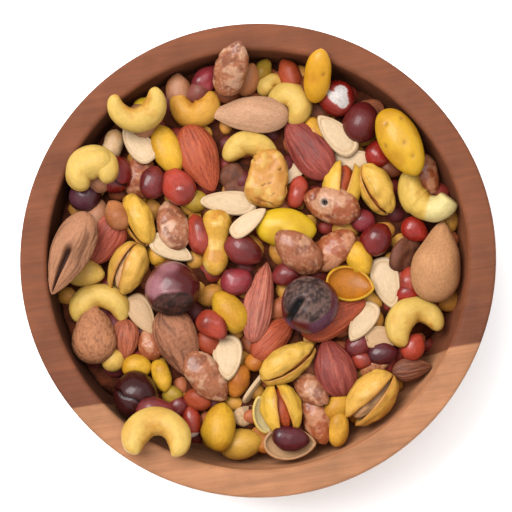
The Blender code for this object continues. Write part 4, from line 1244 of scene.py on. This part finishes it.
def valve_skin(laid, side, gape, shell, spread=1.0):
    """Skin points and colours of one valve, hinged open by half the gape."""
    kind = KINDS[laid.kind]
    width = laid.width * VALVE_WIDTH
    grid = valve_grid(laid.length, width, width * kind.thickness, kind)
    sides = grid.shape[1] // 2
    grain = noise_of(grid, 2.6 * MM, laid.number)
    vein = noise_of(grid, 1.2 * MM, laid.number + 9, 4.0)
    outside = np.arange(2 * sides) < sides
    lift = np.where(outside, grain * VALVE_SWELL + vein * VALVE_RIDGE, 0.0)
    grid = raised(grid, lift)
    across = np.arange(2 * sides)
    across = np.minimum(across, across[::-1]) % sides
    rim = np.exp(-((np.minimum(across, sides - 1 - across) / 1.6) ** 2))
    tint = np.where(outside[None, :, None], shell, SHELL_LINING)
    tint = blend(tint, shell * 0.72, step_up(vein + grain * 0.5, 0.2, 1.1) * 0.6)
    tint = blend(tint, SHELL_EDGE, np.broadcast_to(rim, grain.shape) * 0.6)
    half_turn = math.radians(side * gape / 2)
    own = grid.copy()
    grid = grid * (1, side, 1)
    if side < 0:
        grid, tint, own = grid[:, ::-1], tint[:, ::-1], own[:, ::-1]
    grid[..., 1] += side * laid.width * VALVE_APART
    hinge = grid[..., 0] + laid.length / 2
    x = hinge * math.cos(half_turn) - grid[..., 1] * math.sin(half_turn) - laid.length / 2
    y = hinge * math.sin(half_turn) + grid[..., 1] * math.cos(half_turn)
    return np.stack([x, y * spread, grid[..., 2]], axis=-1), tint, 0.46 + 0 * grain, own


def kernel_skin(laid, flesh, rings=36, sides=32):
    """Skin points and colours of the kernel inside a shell."""
    u, turn = ring_grid(rings, sides)
    size = KERNEL_SIZE * (laid.length, laid.width, laid.width)
    points = skin_points(u, turn, narrowing(u, KINDS["bean"]), *size)
    veins = veins_of(u, turn, 18, laid.number)
    points = raised(points, veins * 0.2 * MM)
    # Painted shade darkens the kernel between its veins.
    return points, blend(flesh, flesh * 0.6, step_up(-veins, 0.0, 0.8)), 0.5 + 0 * u


shells, kernels = Skins(), Skins()
for laid in laid_of("pistachio"):
    gape, shell, flesh = PISTACHIO_LOOKS[laid.look]
    for side in (1, -1):
        shells.add(laid, *valve_skin(laid, side, gape, shell))
    kernels.add(laid, *kernel_skin(laid, flesh))
shell_finish = skin_material(
    "pistachio_shell",
    fibre=(4 * MM, 0.4 * MM),
    fibre_depth=0.08,
    blotch_size=1 * MM,
    blotch_depth=0.14,
    relief=0.08 * MM,
    coat=0.08,
)
kernel_finish = skin_material(
    "pistachio_skin",
    fibre=(4 * MM, 0.4 * MM),
    fibre_depth=0.14,
    blotch_size=1 * MM,
    blotch_depth=0.16,
    relief=0.1 * MM,
)
shells.finish("pistachio_shells", shell_finish)
kernels.finish("pistachio_kernels", kernel_finish)

# Loose half shells: single valves of nut shell that came off their kernels. They are hollow, with a
# thick pale edge, and lie open side up or down.
CUP_DEPTH = 0.40
CUP_LIFT = 3.0 * MM
HALF_SHELL_LOOKS = {
    "domed": (colour(236, 186, 84), colour(236, 186, 84)),
    "pale": (colour(240, 200, 96), colour(246, 226, 170)),
    "tan": (colour(214, 158, 112), colour(228, 184, 140)),
    "saffron": (colour(248, 200, 50), colour(208, 132, 16)),
}


def half_shell_skin(laid):
    """Skin points and colours of a valve that lies on its back."""
    kind = KINDS[laid.kind]
    grid = valve_grid(laid.length, laid.width * kind.thickness * 1.9, laid.width, kind)
    sides = grid.shape[1] // 2
    outside, inside = HALF_SHELL_LOOKS[laid.look]
    grain = noise_of(grid, 2.4 * MM, laid.number)
    tint = np.where((np.arange(2 * sides) < sides)[None, :, None], outside, inside)
    tint = blend(tint, tint * 0.78, step_up(grain, 0.0, 1.0) * 0.5)
    own = grid
    shallow = np.where(np.arange(2 * sides) < sides, 1.0, CUP_DEPTH)
    lying = np.stack([grid[..., 0], grid[..., 2], -grid[..., 1] * shallow], axis=-1)
    return lying + (0, 0, CUP_LIFT), tint, 0.42 + 0 * grain, own


dress("half_shells", ("half_shell",), half_shell_skin, shell_finish)

# Pumpkin seeds in their husks, dried and roasted. They are flat and cream, with a raised rim and a
# groove inside it, round a slightly domed middle. Their edge is darker in tone, and their groove is
# darker with painted shade.
SEED_COLOURS = {"cream": colour(240, 210, 172), "bone": colour(222, 184, 142)}
SEED_EDGE_AND_GROOVE_SHADE = colour(214, 172, 126)
SEED_LIFT = 0.8 * MM
SEED_FULL = 0.72
SEED_RIM_AT = 0.90
SEED_GROOVE_AT = 0.80
SEED_GROOVE_WIDE = 0.05
SEED_WARP = 0.35 * MM


def seed_skin(laid, rings=48, sides=56):
    """Skin points, colours and roughness of a flat, rimmed seed."""
    kind = KINDS[laid.kind]
    u, turn = ring_grid(rings, sides)
    share = narrowing(u, kind) ** SEED_FULL
    out = np.sqrt(np.clip(1 - (1 - np.cos(turn) ** 2) * np.clip(1 - u * u, 0, 1), 0, 1))
    dome = np.clip(1 - out**4, 0, 1) ** 0.5 * 0.8
    rim = np.exp(-(((out - SEED_RIM_AT) / 0.07) ** 2))
    groove = np.exp(-(((out - SEED_GROOVE_AT) / SEED_GROOVE_WIDE) ** 2))
    height = (dome + 0.26 * rim - 0.12 * groove) * laid.width * kind.thickness / 2
    warp = noise_of(skin_points(u, turn, share, laid.length, laid.width, 0.0), 9 * MM, laid.number)
    face = np.sign(np.sin(turn)) * (np.abs(np.sin(turn)) > 1e-6)
    z = face * height + warp * SEED_WARP + SEED_LIFT
    points = np.stack([u * laid.length / 2, share * np.cos(turn) * laid.width / 2, z], axis=-1)
    base = SEED_COLOURS[laid.look]
    # The edge is darker in tone, and painted shade darkens the groove.
    tint = blend(base, SEED_EDGE_AND_GROOVE_SHADE, groove * 0.45 + step_up(out, 0.93, 1.0) * 0.4)
    tint = blend(tint, base * 1.06, step_up(warp, 0.0, 0.8) * 0.5)
    return points, tint, 0.5 + 0 * u


husk = skin_material(
    "seed_husk",
    fibre=(4 * MM, 0.5 * MM),
    fibre_depth=0.06,
    blotch_size=1 * MM,
    blotch_depth=0.12,
    relief=0.05 * MM,
)
dress("pumpkin_seeds", ("seed",), seed_skin, husk)

# Peanuts, beans and broken bits: red-skinned and roasted kernels and yellow coated ones, some
# glossy. The small ones fill the gaps between the larger nuts.
SKIN_COLOURS = {
    "brick": (190, 80, 58),
    "cherry": (180, 56, 42),
    "maroon": (146, 58, 56),
    "garnet": (138, 40, 36),
    "wine": (110, 42, 50),
    "rose": (166, 66, 72),
    "rosewood": (160, 94, 82),
    "rust": (190, 92, 58),
    "chestnut": (150, 86, 52),
    "walnut": (140, 86, 62),
    "caramel": (178, 108, 72),
    "toffee": (206, 138, 92),
    "tan": (206, 148, 112),
    "amber": (212, 136, 56),
    "honey": (236, 180, 72),
    "gold": (238, 186, 62),
    "lemon": (240, 200, 56),
    "olive": (196, 160, 62),
    "butter": (244, 200, 108),
    "bone": (228, 190, 146),
    "tipped": (184, 70, 44),
    "glossy": (196, 84, 68),
}
TIP_COLOUR = colour(240, 214, 200)
GLOSSES = {"glossy": 0.16, "garnet": 0.26, "cherry": 0.28}
PEANUT_SWELL = 0.4 * MM
PEANUT_VEIN = 0.07 * MM
RED_SKINS = ("brick", "cherry", "maroon", "garnet", "wine", "rose", "tipped", "glossy")


def kernel_like_skin(laid, rings, sides):
    """Skin points, colours and roughness of a smooth small nut or bean."""
    kind = KINDS[laid.kind]
    u, turn = ring_grid(rings, sides)
    share = narrowing(u, kind)
    points = full_skin(laid, u, turn, share)
    lumps = noise_of(points, 4.5 * MM, laid.number)
    veins = veins_of(u, turn, 16, laid.number + 3)
    points = raised(points, lumps * PEANUT_SWELL + veins * PEANUT_VEIN)
    base = colour(*SKIN_COLOURS[laid.look])
    red = laid.look in RED_SKINS
    deep = base * ((0.45, 0.35, 0.4) if red else (0.75, 0.6, 0.4))
    tint = blend(base, deep, step_up(lumps, 0.05, 0.9) * 0.6)
    tint = blend(tint, base * 1.25, step_up(-lumps, 0.1, 0.9) * 0.5)
    tint = blend(tint, base * 0.7, step_up(veins, 0.3, 0.9) * 0.3)
    if laid.look == "tipped":
        tint = blend(tint, TIP_COLOUR, step_up(-u, 0.72, 0.8))
    gloss = GLOSSES.get(laid.look, 0.36 if red else 0.44)
    return points, tint, gloss + 0 * u


red_nuts, roasted_nuts = Skins(), Skins()
for laid in laid_of("peanut", "bean"):
    steps = (28, 24) if laid.kind == "bean" else (40, 36)
    kept = red_nuts if laid.look in RED_SKINS else roasted_nuts
    kept.add(laid, *kernel_like_skin(laid, *steps))
red_skin = skin_material(
    "peanut_skin",
    fibre=(5 * MM, 0.35 * MM),
    fibre_depth=0.14,
    blotch_size=1.2 * MM,
    blotch_depth=0.3,
    relief=0.07 * MM,
    coat=0.30,
)
roasted_skin = skin_material(
    "roasted_skin",
    fibre=(4 * MM, 0.5 * MM),
    fibre_depth=0.08,
    blotch_size=1.2 * MM,
    blotch_depth=0.2,
    relief=0.07 * MM,
)
red_nuts.finish("red_skinned_peanuts", red_skin)
roasted_nuts.finish("roasted_peanuts", roasted_skin)

# Broken shell: curved brown shards that fell off when shells were cracked. They are rough on both
# faces, and darker in their hollows as painted shade.
CHIP_SWELL = 0.7 * MM
CHIP_ROUGH = 0.25 * MM


def chip_skin(laid, rings=30, sides=32):
    """Skin points, colours and roughness of a shard of shell."""
    kind = KINDS[laid.kind]
    u, turn = ring_grid(rings, sides)
    points = full_skin(laid, u, turn, fullness(u))
    rough = noise_of(points, 1.6 * MM, laid.number)
    lumps = noise_of(points, 4 * MM, laid.number + 4)
    points = raised(points, lumps * CHIP_SWELL + rough * CHIP_ROUGH)
    base = colour(*SKIN_COLOURS[laid.look])
    # Painted shade darkens the shard by its rough grain.
    tint = blend(base, base * 0.5, step_up(rough, 0.0, 0.8) * 0.6)
    along = u * past_bend(laid.length, laid.width, kind.bend)
    return bent(points, along, laid.length, laid.width, kind.bend), tint, 0.62 + 0 * u, points


shard = skin_material(
    "shard",
    fibre=(4 * MM, 0.4 * MM),
    fibre_depth=0.14,
    blotch_size=0.9 * MM,
    blotch_depth=0.25,
    relief=0.1 * MM,
)
dress("shell_chips", ("chip",), chip_skin, shard)

# Hazelnuts: round, dark red to purple, with a grey bloom, which is painted sheen strongest on their
# tops. Each has a rough brown base where it sat in its husk. One is cracked, one is split, and one
# has lost a flake of skin; their cracks, and a wedge in one base, are painted nearly black as painted
# shade.
HazelLook = namedtuple("HazelLook", "body bloom base_towards base_size gloss")
HAZEL_LOOKS = {
    "plum": HazelLook(colour(92, 40, 46), colour(120, 74, 84), (0.0, -0.4, -0.9), 0.30, 0.3),
    "split": HazelLook(colour(150, 44, 40), colour(170, 92, 90), (0.2, 0.2, -1.0), 0.25, 0.2),
    "chipped": HazelLook(colour(160, 44, 36), colour(180, 84, 74), (0.2, 0.2, -1.0), 0.25, 0.24),
    "dusky": HazelLook(colour(118, 42, 40), colour(126, 54, 52), (0.0, 0.6, -0.8), 0.25, 0.34),
    "cracked": HazelLook(colour(78, 32, 30), colour(92, 46, 46), (-0.3, -0.3, -0.9), 0.30, 0.26),
    "bloomed": HazelLook(colour(108, 40, 42), colour(204, 146, 152), (0.1, -0.86, 0.42), 0.56, 0.24),
    "capped": HazelLook(colour(116, 36, 38), colour(132, 92, 118), (-0.1, 0.28, 0.95), 0.66, 0.28),
}
BASES = (
    (colour(104, 60, 48), colour(52, 26, 20)),
    (colour(132, 102, 92), colour(70, 48, 46)),
)
FLAKE_COLOUR = colour(232, 222, 216)
CRACK_PAINTED_SHADE = colour(16, 8, 8)
CRACK_WIDE = 0.045
CRACK_DEEP = 0.9 * MM
WEDGE_WIDE = 0.15
WEDGE_DEEP = 2.0 * MM
FLAKE_TOWARDS = np.array((0.12, 0.05, 0.99))
FLAKE_DEEP = 0.25 * MM
BASE_SUNK = 0.25 * MM
BASE_RING_HIGH = 0.2 * MM


def hazelnut_skin(laid, rings=60, sides=72):
    """Skin points, colours and roughness of a hazelnut, in the bowl's own directions."""
    kind = KINDS[laid.kind]
    look = HAZEL_LOOKS[laid.look]
    u, turn = ring_grid(rings, sides)
    points = full_skin(laid, u, turn, narrowing(u, kind))
    facing = points @ laid.turn.T
    facing /= np.maximum(np.linalg.norm(facing, axis=-1, keepdims=True), 1e-9)
    towards = np.array(look.base_towards) / np.linalg.norm(look.base_towards)
    rough = noise_of(points, 1.5 * MM, laid.number)
    coarse = noise_of(points, 3.2 * MM, laid.number + 3)
    lean = facing @ towards + 0.03 * coarse
    edge = math.cos(look.base_size * math.pi / 2)
    base = step_up(lean, edge - 0.02, edge + 0.03)
    ring = np.exp(-(((lean - edge) / 0.035) ** 2))
    push = base * (rough * 0.2 * MM + coarse * 0.3 * MM - BASE_SUNK) + ring * BASE_RING_HIGH
    push = push + (1 - base) * noise_of(points, 7 * MM, laid.number + 8) * 0.25 * MM
    # Painted sheen: the grey bloom lies thickest on the top of each nut, where light falls, and in random
    # patches.
    bloom = step_up(noise_of(points, 6 * MM, laid.number + 6) + facing[..., 2] * 0.7, 0.1, 1.2)
    tint = blend(look.body, look.bloom, bloom * 0.75)
    pale, deep = BASES[laid.look == "capped"]
    grains = noise_of(points, 0.8 * MM, laid.number + 12)
    tint = blend(tint, blend(pale, deep, step_up(grains * 0.8 + coarse * 0.5, -0.6, 0.8)), base)
    tint = blend(tint, pale * 1.2, ring * 0.3)
    roughness = look.gloss + base * 0.4
    if laid.look == "capped":
        wedge = np.exp(-(((facing[..., 0] + 0.38 - 0.62 * facing[..., 1]) / WEDGE_WIDE) ** 4))
        wedge = wedge * step_up(-facing[..., 1], -0.3, 0.0) * step_up(facing[..., 2], 0.2, 0.45)
        push = push - wedge * WEDGE_DEEP
        # Painted shade: the wedge in the base is painted nearly black.
        tint = blend(tint, CRACK_PAINTED_SHADE, wedge * 2)
        roughness = roughness + wedge * 0.4
    if laid.look in ("split", "cracked"):
        line = facing[..., 0] * 0.5 + facing[..., 1] * 0.86 + 0.22 + 0.10 * coarse
        crack = np.exp(-((line / CRACK_WIDE) ** 2)) * step_up(facing[..., 2], -0.2, 0.2)
        push = push - crack * CRACK_DEEP
        # Painted shade: the crack is painted nearly black.
        tint = blend(tint, CRACK_PAINTED_SHADE, crack)
    if laid.look == "chipped":
        flake = step_up(facing @ FLAKE_TOWARDS + 0.16 * coarse + 0.06 * rough, 0.83, 0.87)
        push = push - flake * FLAKE_DEEP
        tint = blend(tint, FLAKE_COLOUR, flake)
        roughness = roughness + flake * 0.3
    return raised(points, push), tint, roughness


hard_shell = skin_material(
    "hazel_shell",
    fibre=(3 * MM, 0.5 * MM),
    fibre_depth=0.08,
    blotch_size=0.7 * MM,
    blotch_depth=0.30,
    relief=0.07 * MM,
    coat=0.12,
)
dress("hazelnuts", ("hazelnut",), hazelnut_skin, hard_shell)

# Two odd pieces: a giant corn kernel, roasted until it was knobbly and cracked, with square corners,
# and a yellow coated nut with a narrow waist, of two kernels that stuck together.
CORN_COLOUR = colour(228, 168, 84)
CORN_CRACK_PAINTED_SHADE = colour(120, 66, 24)
WAISTED_COLOUR = colour(234, 180, 76)
CRUST_COLOUR = colour(246, 208, 120)
WAISTED_FULL = 1.25
KNOB_HEIGHTS = (0.7 * MM, 0.2 * MM)
CORN_CRACK_DEEP = 0.6 * MM


def knobbly_skin(laid, rings=72, sides=72):
    """Skin points, colours and roughness of the corn kernel or of the waisted nut."""
    kind = KINDS[laid.kind]
    u, turn = ring_grid(rings, sides)
    corn = laid.kind == "corn"
    share = (1 - np.abs(u) ** 3.4) ** (1 / 2.6) * (1 - 0.14 * u) if corn else narrowing(u, kind)
    square = 3.4 if corn else 2.2
    round_share = (np.abs(np.cos(turn)) ** square + np.abs(np.sin(turn)) ** square) ** (-1 / square)
    if not corn:
        share = share * WAISTED_FULL
    points = full_skin(laid, u, turn, share * round_share)
    lumps = noise_of(points, 5 * MM, laid.number)
    knobs = noise_of(points, 2.2 * MM, laid.number + 4)
    depth = 1.0 if corn else 0.45
    push = (lumps * KNOB_HEIGHTS[0] + knobs * KNOB_HEIGHTS[1]) * depth
    base = CORN_COLOUR if corn else WAISTED_COLOUR
    tint = blend(base, base * (0.82, 0.62, 0.4), step_up(-lumps - 0.4 * knobs, 0.0, 0.9) * 0.6)
    tint = blend(tint, CRUST_COLOUR, step_up(knobs + lumps * 0.3, 0.3, 0.9) * 0.6)
    if corn:
        # Painted shade: the cracks are painted dark brown.
        crack = np.exp(-((noise_of(points, 4.2 * MM, laid.number + 15) / 0.05) ** 2))
        crack = crack * step_up(noise_of(points, 5 * MM, laid.number + 21), 0.15, 0.4)
        push = push - crack * CORN_CRACK_DEEP
        tint = blend(tint, CORN_CRACK_PAINTED_SHADE, crack * 0.9)
    return raised(points, push * np.clip(1 - u * u, 0, 1) ** 0.25), tint, 0.50 + 0 * u


toasted = skin_material(
    "corn_skin",
    fibre=(3 * MM, 0.6 * MM),
    fibre_depth=0.06,
    blotch_size=1.2 * MM,
    blotch_depth=0.2,
    relief=0.09 * MM,
    coat=0.15,
)
dress("corn_and_waisted_nut", ("corn", "waisted"), knobbly_skin, toasted)

# Under the nuts that show lies the rest of the mix, seen only as dark gaps. Its core is a lumpy bed
# painted dark brown as painted shade, which falls away along the lower wall, and small nuts and bits,
# darkened as painted shade, are scattered over it.
BED_RINGS = 60
BED_SIDES = 160
BED_GAP = 0.45 * MM
BED_LUMP_SIZE = 5 * MM
BED_LUMP_HIGH = 1.4 * MM
BED_LOWERED = 1.0 * MM
BED_FALL = 15.0 * MM
FALL_TOWARDS = math.radians(105)
FALL_FROM = (24 * MM, 48 * MM)
bed_reach = np.linspace(0, 1, BED_RINGS) ** 0.7
top_radius = INNER_RADIUS - 1.6 * MM
bed_around = np.arange(BED_SIDES) * -math.tau / BED_SIDES
bed_r, bed_turn = np.meshgrid(bed_reach * top_radius, bed_around, indexing="ij")
bed_x, bed_y = bed_r * np.cos(bed_turn), bed_r * np.sin(bed_turn)
bed_spots = np.stack([bed_x, bed_y, 0 * bed_x], axis=-1)
bed_lumps = smooth_noise(bed_spots / BED_LUMP_SIZE + 30, 5) * BED_LUMP_HIGH
downhill = step_up(-bed_x * math.cos(FALL_TOWARDS) - bed_y * math.sin(FALL_TOWARDS), *FALL_FROM)
fall = BED_FALL * downhill * step_up(bed_r / top_radius, 0.80, 0.97)
bed_z = bed_height(bed_x, bed_y) + bed_lumps - BED_LOWERED - fall
free_radius = np.vectorize(bowed_radius)(BOWL_HEIGHT - bed_z, INNER_RADIUS, INNER_DEPTH) - 2 * BED_GAP
pulled_in = np.minimum(1.0, free_radius / np.maximum(bed_r, MM))
bed_x, bed_y = bed_x * pulled_in, bed_y * pulled_in
bed_top = np.stack([bed_x, bed_y, bed_z], axis=-1)
lowest_edge = bed_z[-1].min() - 2 * MM
under_wall = [(r - BED_GAP * 2, z + BED_GAP) for r, z in inner_wall if z < lowest_edge and r > 1 * MM]
under = [
    np.stack([r * np.cos(bed_turn[0]), r * np.sin(bed_turn[0]), np.full(BED_SIDES, z)], axis=-1)
    for r, z in under_wall + [(0.0, FLOOR_THICKNESS + BED_GAP)]
]
bed_grid = np.concatenate([bed_top, np.array(under)])[::-1]


def bed_material():
    """Painted shade: a dark, uneven brown for what lies in shade."""
    dark, tree, shader = new_material("painted_shade_mix")
    place = add_node(tree, "ShaderNodeTexCoord").outputs["Object"]
    cloud = blotches_of(tree, place, 4 * MM, 1.8)
    fine = blotches_of(tree, place, 1.2 * MM, 1.6)
    # Painted shade: the bed is painted near-black brown.
    tint = mixed(tree, cloud, rgba(colour(24, 8, 4)), rgba(colour(82, 36, 16)))
    tree.links.new(tint, shader.inputs["Base Color"])
    bump = add_node(tree, "ShaderNodeBump", {"Strength": 0.7, "Distance": 0.0005, "Height": fine})
    tree.links.new(bump.outputs[0], shader.inputs["Normal"])
    shader.inputs["Roughness"].default_value = 0.85
    shader.inputs["Specular IOR Level"].default_value = 0.1
    return dark


bed = mesh_object("painted_shade_core", *closed_skin(bed_grid), bed_material())
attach(bed, "root")
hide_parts("trail_mix")


# Colours of the scattered nuts, darkened as painted shade.
FILLER_COLOURS_IN_PAINTED_SHADE = (
    (112, 38, 30),
    (128, 68, 40),
    (160, 108, 44),
    (82, 30, 30),
    (146, 80, 48),
    (172, 122, 50),
)
FILLER_SPACING = 6.2 * MM
FILLER_LENGTH = 10.0 * MM
FILLER_SHAPE = (0.5, 0.38, 0.34)
FILLER_SIZES = (0.7, 1.15)
FILLER_DENSITY = 90000.0
FILLER_SEED = 4
FILLER_TINT_SEED = 11
FILLER_DROP = 1.3 * MM


def filler_material():
    """Skins of the scattered nuts, darkened as painted shade, from red through brown to yellow by each
    one's own number.
    """
    skin, tree, shader = new_material("scattered_skins_in_painted_shade")
    number = add_node(tree, "ShaderNodeAttribute", attribute_name="nut_number").outputs["Fac"]
    place = add_node(tree, "ShaderNodeTexCoord").outputs["Object"]
    ramp = add_node(tree, "ShaderNodeValToRGB", {"Fac": number})
    ramp.color_ramp.interpolation = "CONSTANT"
    stops = ramp.color_ramp.elements
    for index, shade in enumerate(FILLER_COLOURS_IN_PAINTED_SHADE):
        stop = stops[index] if index < 2 else stops.new(index / len(FILLER_COLOURS_IN_PAINTED_SHADE))
        stop.position = index / len(FILLER_COLOURS_IN_PAINTED_SHADE)
        stop.color = rgba(colour(*shade))
    shade = ramped(tree, blotches_of(tree, place, 2 * MM, 1.6), 0.0, 1.0, 0.75, 1.15)
    tree.links.new(shaded(tree, ramp.outputs[0], shade), shader.inputs["Base Color"])
    shader.inputs["Roughness"].default_value = 0.5
    shader.inputs["Specular IOR Level"].default_value = SKIN_SPECULAR
    return skin


def scatter_tree(material):
    """Geometry Nodes: small nuts of uneven size and turn, spread over a surface and realized."""
    tree = bpy.data.node_groups.new("scattered_nuts", "GeometryNodeTree")
    tree.is_modifier = True
    named = {}
    tree.interface.new_socket("Geometry", in_out="INPUT", socket_type="NodeSocketGeometry")
    for socket_name, kind in (
        ("Spacing", "NodeSocketFloat"),
        ("Nut Length", "NodeSocketFloat"),
        ("Seed", "NodeSocketInt"),
    ):
        socket = tree.interface.new_socket(socket_name, in_out="INPUT", socket_type=kind)
        named[socket_name] = socket.identifier
    tree.interface.new_socket("Geometry", in_out="OUTPUT", socket_type="NodeSocketGeometry")
    given = tree.nodes.new("NodeGroupInput").outputs
    spots = add_node(
        tree,
        "GeometryNodeDistributePointsOnFaces",
        {
            "Mesh": given["Geometry"],
            "Distance Min": given["Spacing"],
            "Density Max": FILLER_DENSITY,
            "Seed": given["Seed"],
        },
        distribute_method="POISSON",
    )
    ball = add_node(
        tree, "GeometryNodeMeshUVSphere", {"Segments": 14, "Rings": 9, "Radius": given["Nut Length"]}
    ).outputs["Mesh"]
    shaped = add_node(tree, "GeometryNodeTransform", {"Geometry": ball, "Scale": FILLER_SHAPE}).outputs[0]
    turn = add_node(
        tree,
        "FunctionNodeRandomValue",
        {"Min": (-0.5, -0.5, 0.0), "Max": (0.5, 0.5, math.tau), "Seed": given["Seed"]},
        data_type="FLOAT_VECTOR",
    ).outputs[0]
    smallest, largest = FILLER_SIZES
    size = add_node(
        tree, "FunctionNodeRandomValue", {2: smallest, 3: largest, "Seed": given["Seed"]}, data_type="FLOAT"
    ).outputs[1]
    placed = add_node(
        tree,
        "GeometryNodeInstanceOnPoints",
        {"Points": spots.outputs["Points"], "Instance": shaped, "Rotation": turn, "Scale": size},
    ).outputs[0]
    number = add_node(
        tree, "FunctionNodeRandomValue", {2: 0.0, 3: 1.0, "Seed": FILLER_TINT_SEED}, data_type="FLOAT"
    ).outputs[1]
    numbered = add_node(
        tree,
        "GeometryNodeStoreNamedAttribute",
        {"Geometry": placed, "Name": "nut_number", "Value": number},
        data_type="FLOAT",
        domain="INSTANCE",
    ).outputs[0]
    realized = add_node(tree, "GeometryNodeRealizeInstances", {"Geometry": numbered}).outputs[0]
    smooth = add_node(tree, "GeometryNodeSetShadeSmooth", {"Geometry": realized}).outputs[0]
    finished = add_node(tree, "GeometryNodeSetMaterial", {"Geometry": smooth, "Material": material})
    end = tree.nodes.new("NodeGroupOutput")
    tree.links.new(finished.outputs[0], end.inputs[0])
    return tree, named


filler_skin = filler_material()
tree, named = scatter_tree(filler_skin)
carrier_grid = bed_top[: BED_RINGS - 3]
carrier_points = carrier_grid.reshape(-1, 3) - (0, 0, FILLER_DROP)
carrier_index = np.arange(carrier_grid.shape[0] * BED_SIDES).reshape(-1, BED_SIDES)
carrier_across = np.roll(carrier_index, -1, axis=1)
carrier_faces = np.stack(
    [carrier_index[:-1], carrier_index[1:], carrier_across[1:], carrier_across[:-1]], axis=-1
).reshape(-1, 4)
carrier = mesh_object("filler_carrier", carrier_points, carrier_faces[BED_SIDES:].tolist(), filler_skin)
scatter = carrier.modifiers.new("scatter", "NODES")
scatter.node_group = tree
scatter[named["Spacing"]] = FILLER_SPACING
scatter[named["Nut Length"]] = FILLER_LENGTH
scatter[named["Seed"]] = FILLER_SEED
bpy.context.view_layer.update()
evaluated = carrier.evaluated_get(bpy.context.evaluated_depsgraph_get())
filler_mesh = bpy.data.meshes.new_from_object(evaluated)
bpy.data.objects.remove(carrier)
fillers = bpy.data.objects.new("scattered_small_nuts", filler_mesh)
bpy.context.scene.collection.objects.link(fillers)
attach(fillers, "root")
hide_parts("trail_mix")

# The studio: a plain white floor, a wide soft light high to the upper left, and a pale sky all
# round that fills the shadows.
FLOOR_REACH = 3.0
floor_mesh = bpy.data.meshes.new("studio_floor")
floor_mesh.from_pydata(
    [(x * FLOOR_REACH, y * FLOOR_REACH, -0.0002) for x, y in ((-1, -1), (1, -1), (1, 1), (-1, 1))],
    [],
    [(0, 1, 2, 3)],
)
floor = bpy.data.objects.new("studio_floor", floor_mesh)
bpy.context.scene.collection.objects.link(floor)
paper, _, paper_shader = new_material("white_paper")
paper_shader.inputs["Base Color"].default_value = (0.95, 0.95, 0.95, 1.0)
paper_shader.inputs["Roughness"].default_value = 0.9
floor_mesh.materials.append(paper)


def soft_light(name, spot, size, power):
    """A square soft light that looks at the bowl."""
    lamp = bpy.data.lights.new(name, "AREA")
    lamp.shape = "SQUARE"
    lamp.size = size
    lamp.energy = power
    made = bpy.data.objects.new(name, lamp)
    made.location = spot
    made.rotation_mode = "QUATERNION"
    made.rotation_quaternion = (-Vector(spot)).to_track_quat("-Z", "Y")
    bpy.context.scene.collection.objects.link(made)


soft_light("key_light", (-1.12, 0.82, 2.70), 1.90, 128.0)
soft_light("fill_light", (0.30, 0.60, 2.60), 2.00, 30.0)
sky = bpy.data.worlds.new("studio_sky")
sky.use_nodes = True
sky.node_tree.nodes["Background"].inputs["Color"].default_value = (1.0, 1.0, 1.0, 1.0)
sky.node_tree.nodes["Background"].inputs["Strength"].default_value = 1.0
bpy.context.scene.world = sky
bpy.context.scene.view_settings.view_transform = "Standard"

# The camera stands a little below and to the right of the bowl's middle, high above it, and looks at
# the middle of its rim.
FRAME_WIDTH = 182.3 * MM
CAMERA_SPOT = Vector((0.0448, -0.0949, 1.0))
AIM = Vector((-0.00025, 0.00058, BOWL_HEIGHT))
SENSOR_WIDTH = 36.0
lens = bpy.data.cameras.new("camera")
lens.sensor_width = SENSOR_WIDTH
lens.lens = SENSOR_WIDTH * (CAMERA_SPOT - AIM).length / FRAME_WIDTH
lens.clip_start = 0.01
camera = bpy.data.objects.new("camera", lens)
camera.location = CAMERA_SPOT
backward = (CAMERA_SPOT - AIM).normalized()
rightward = Vector((0.0, 1.0, 0.0)).cross(backward).normalized()
camera.rotation_mode = "QUATERNION"
upright = Matrix((rightward, backward.cross(rightward), backward)).transposed()
camera.rotation_quaternion = upright.to_quaternion()
bpy.context.scene.collection.objects.link(camera)
bpy.context.scene.camera = camera
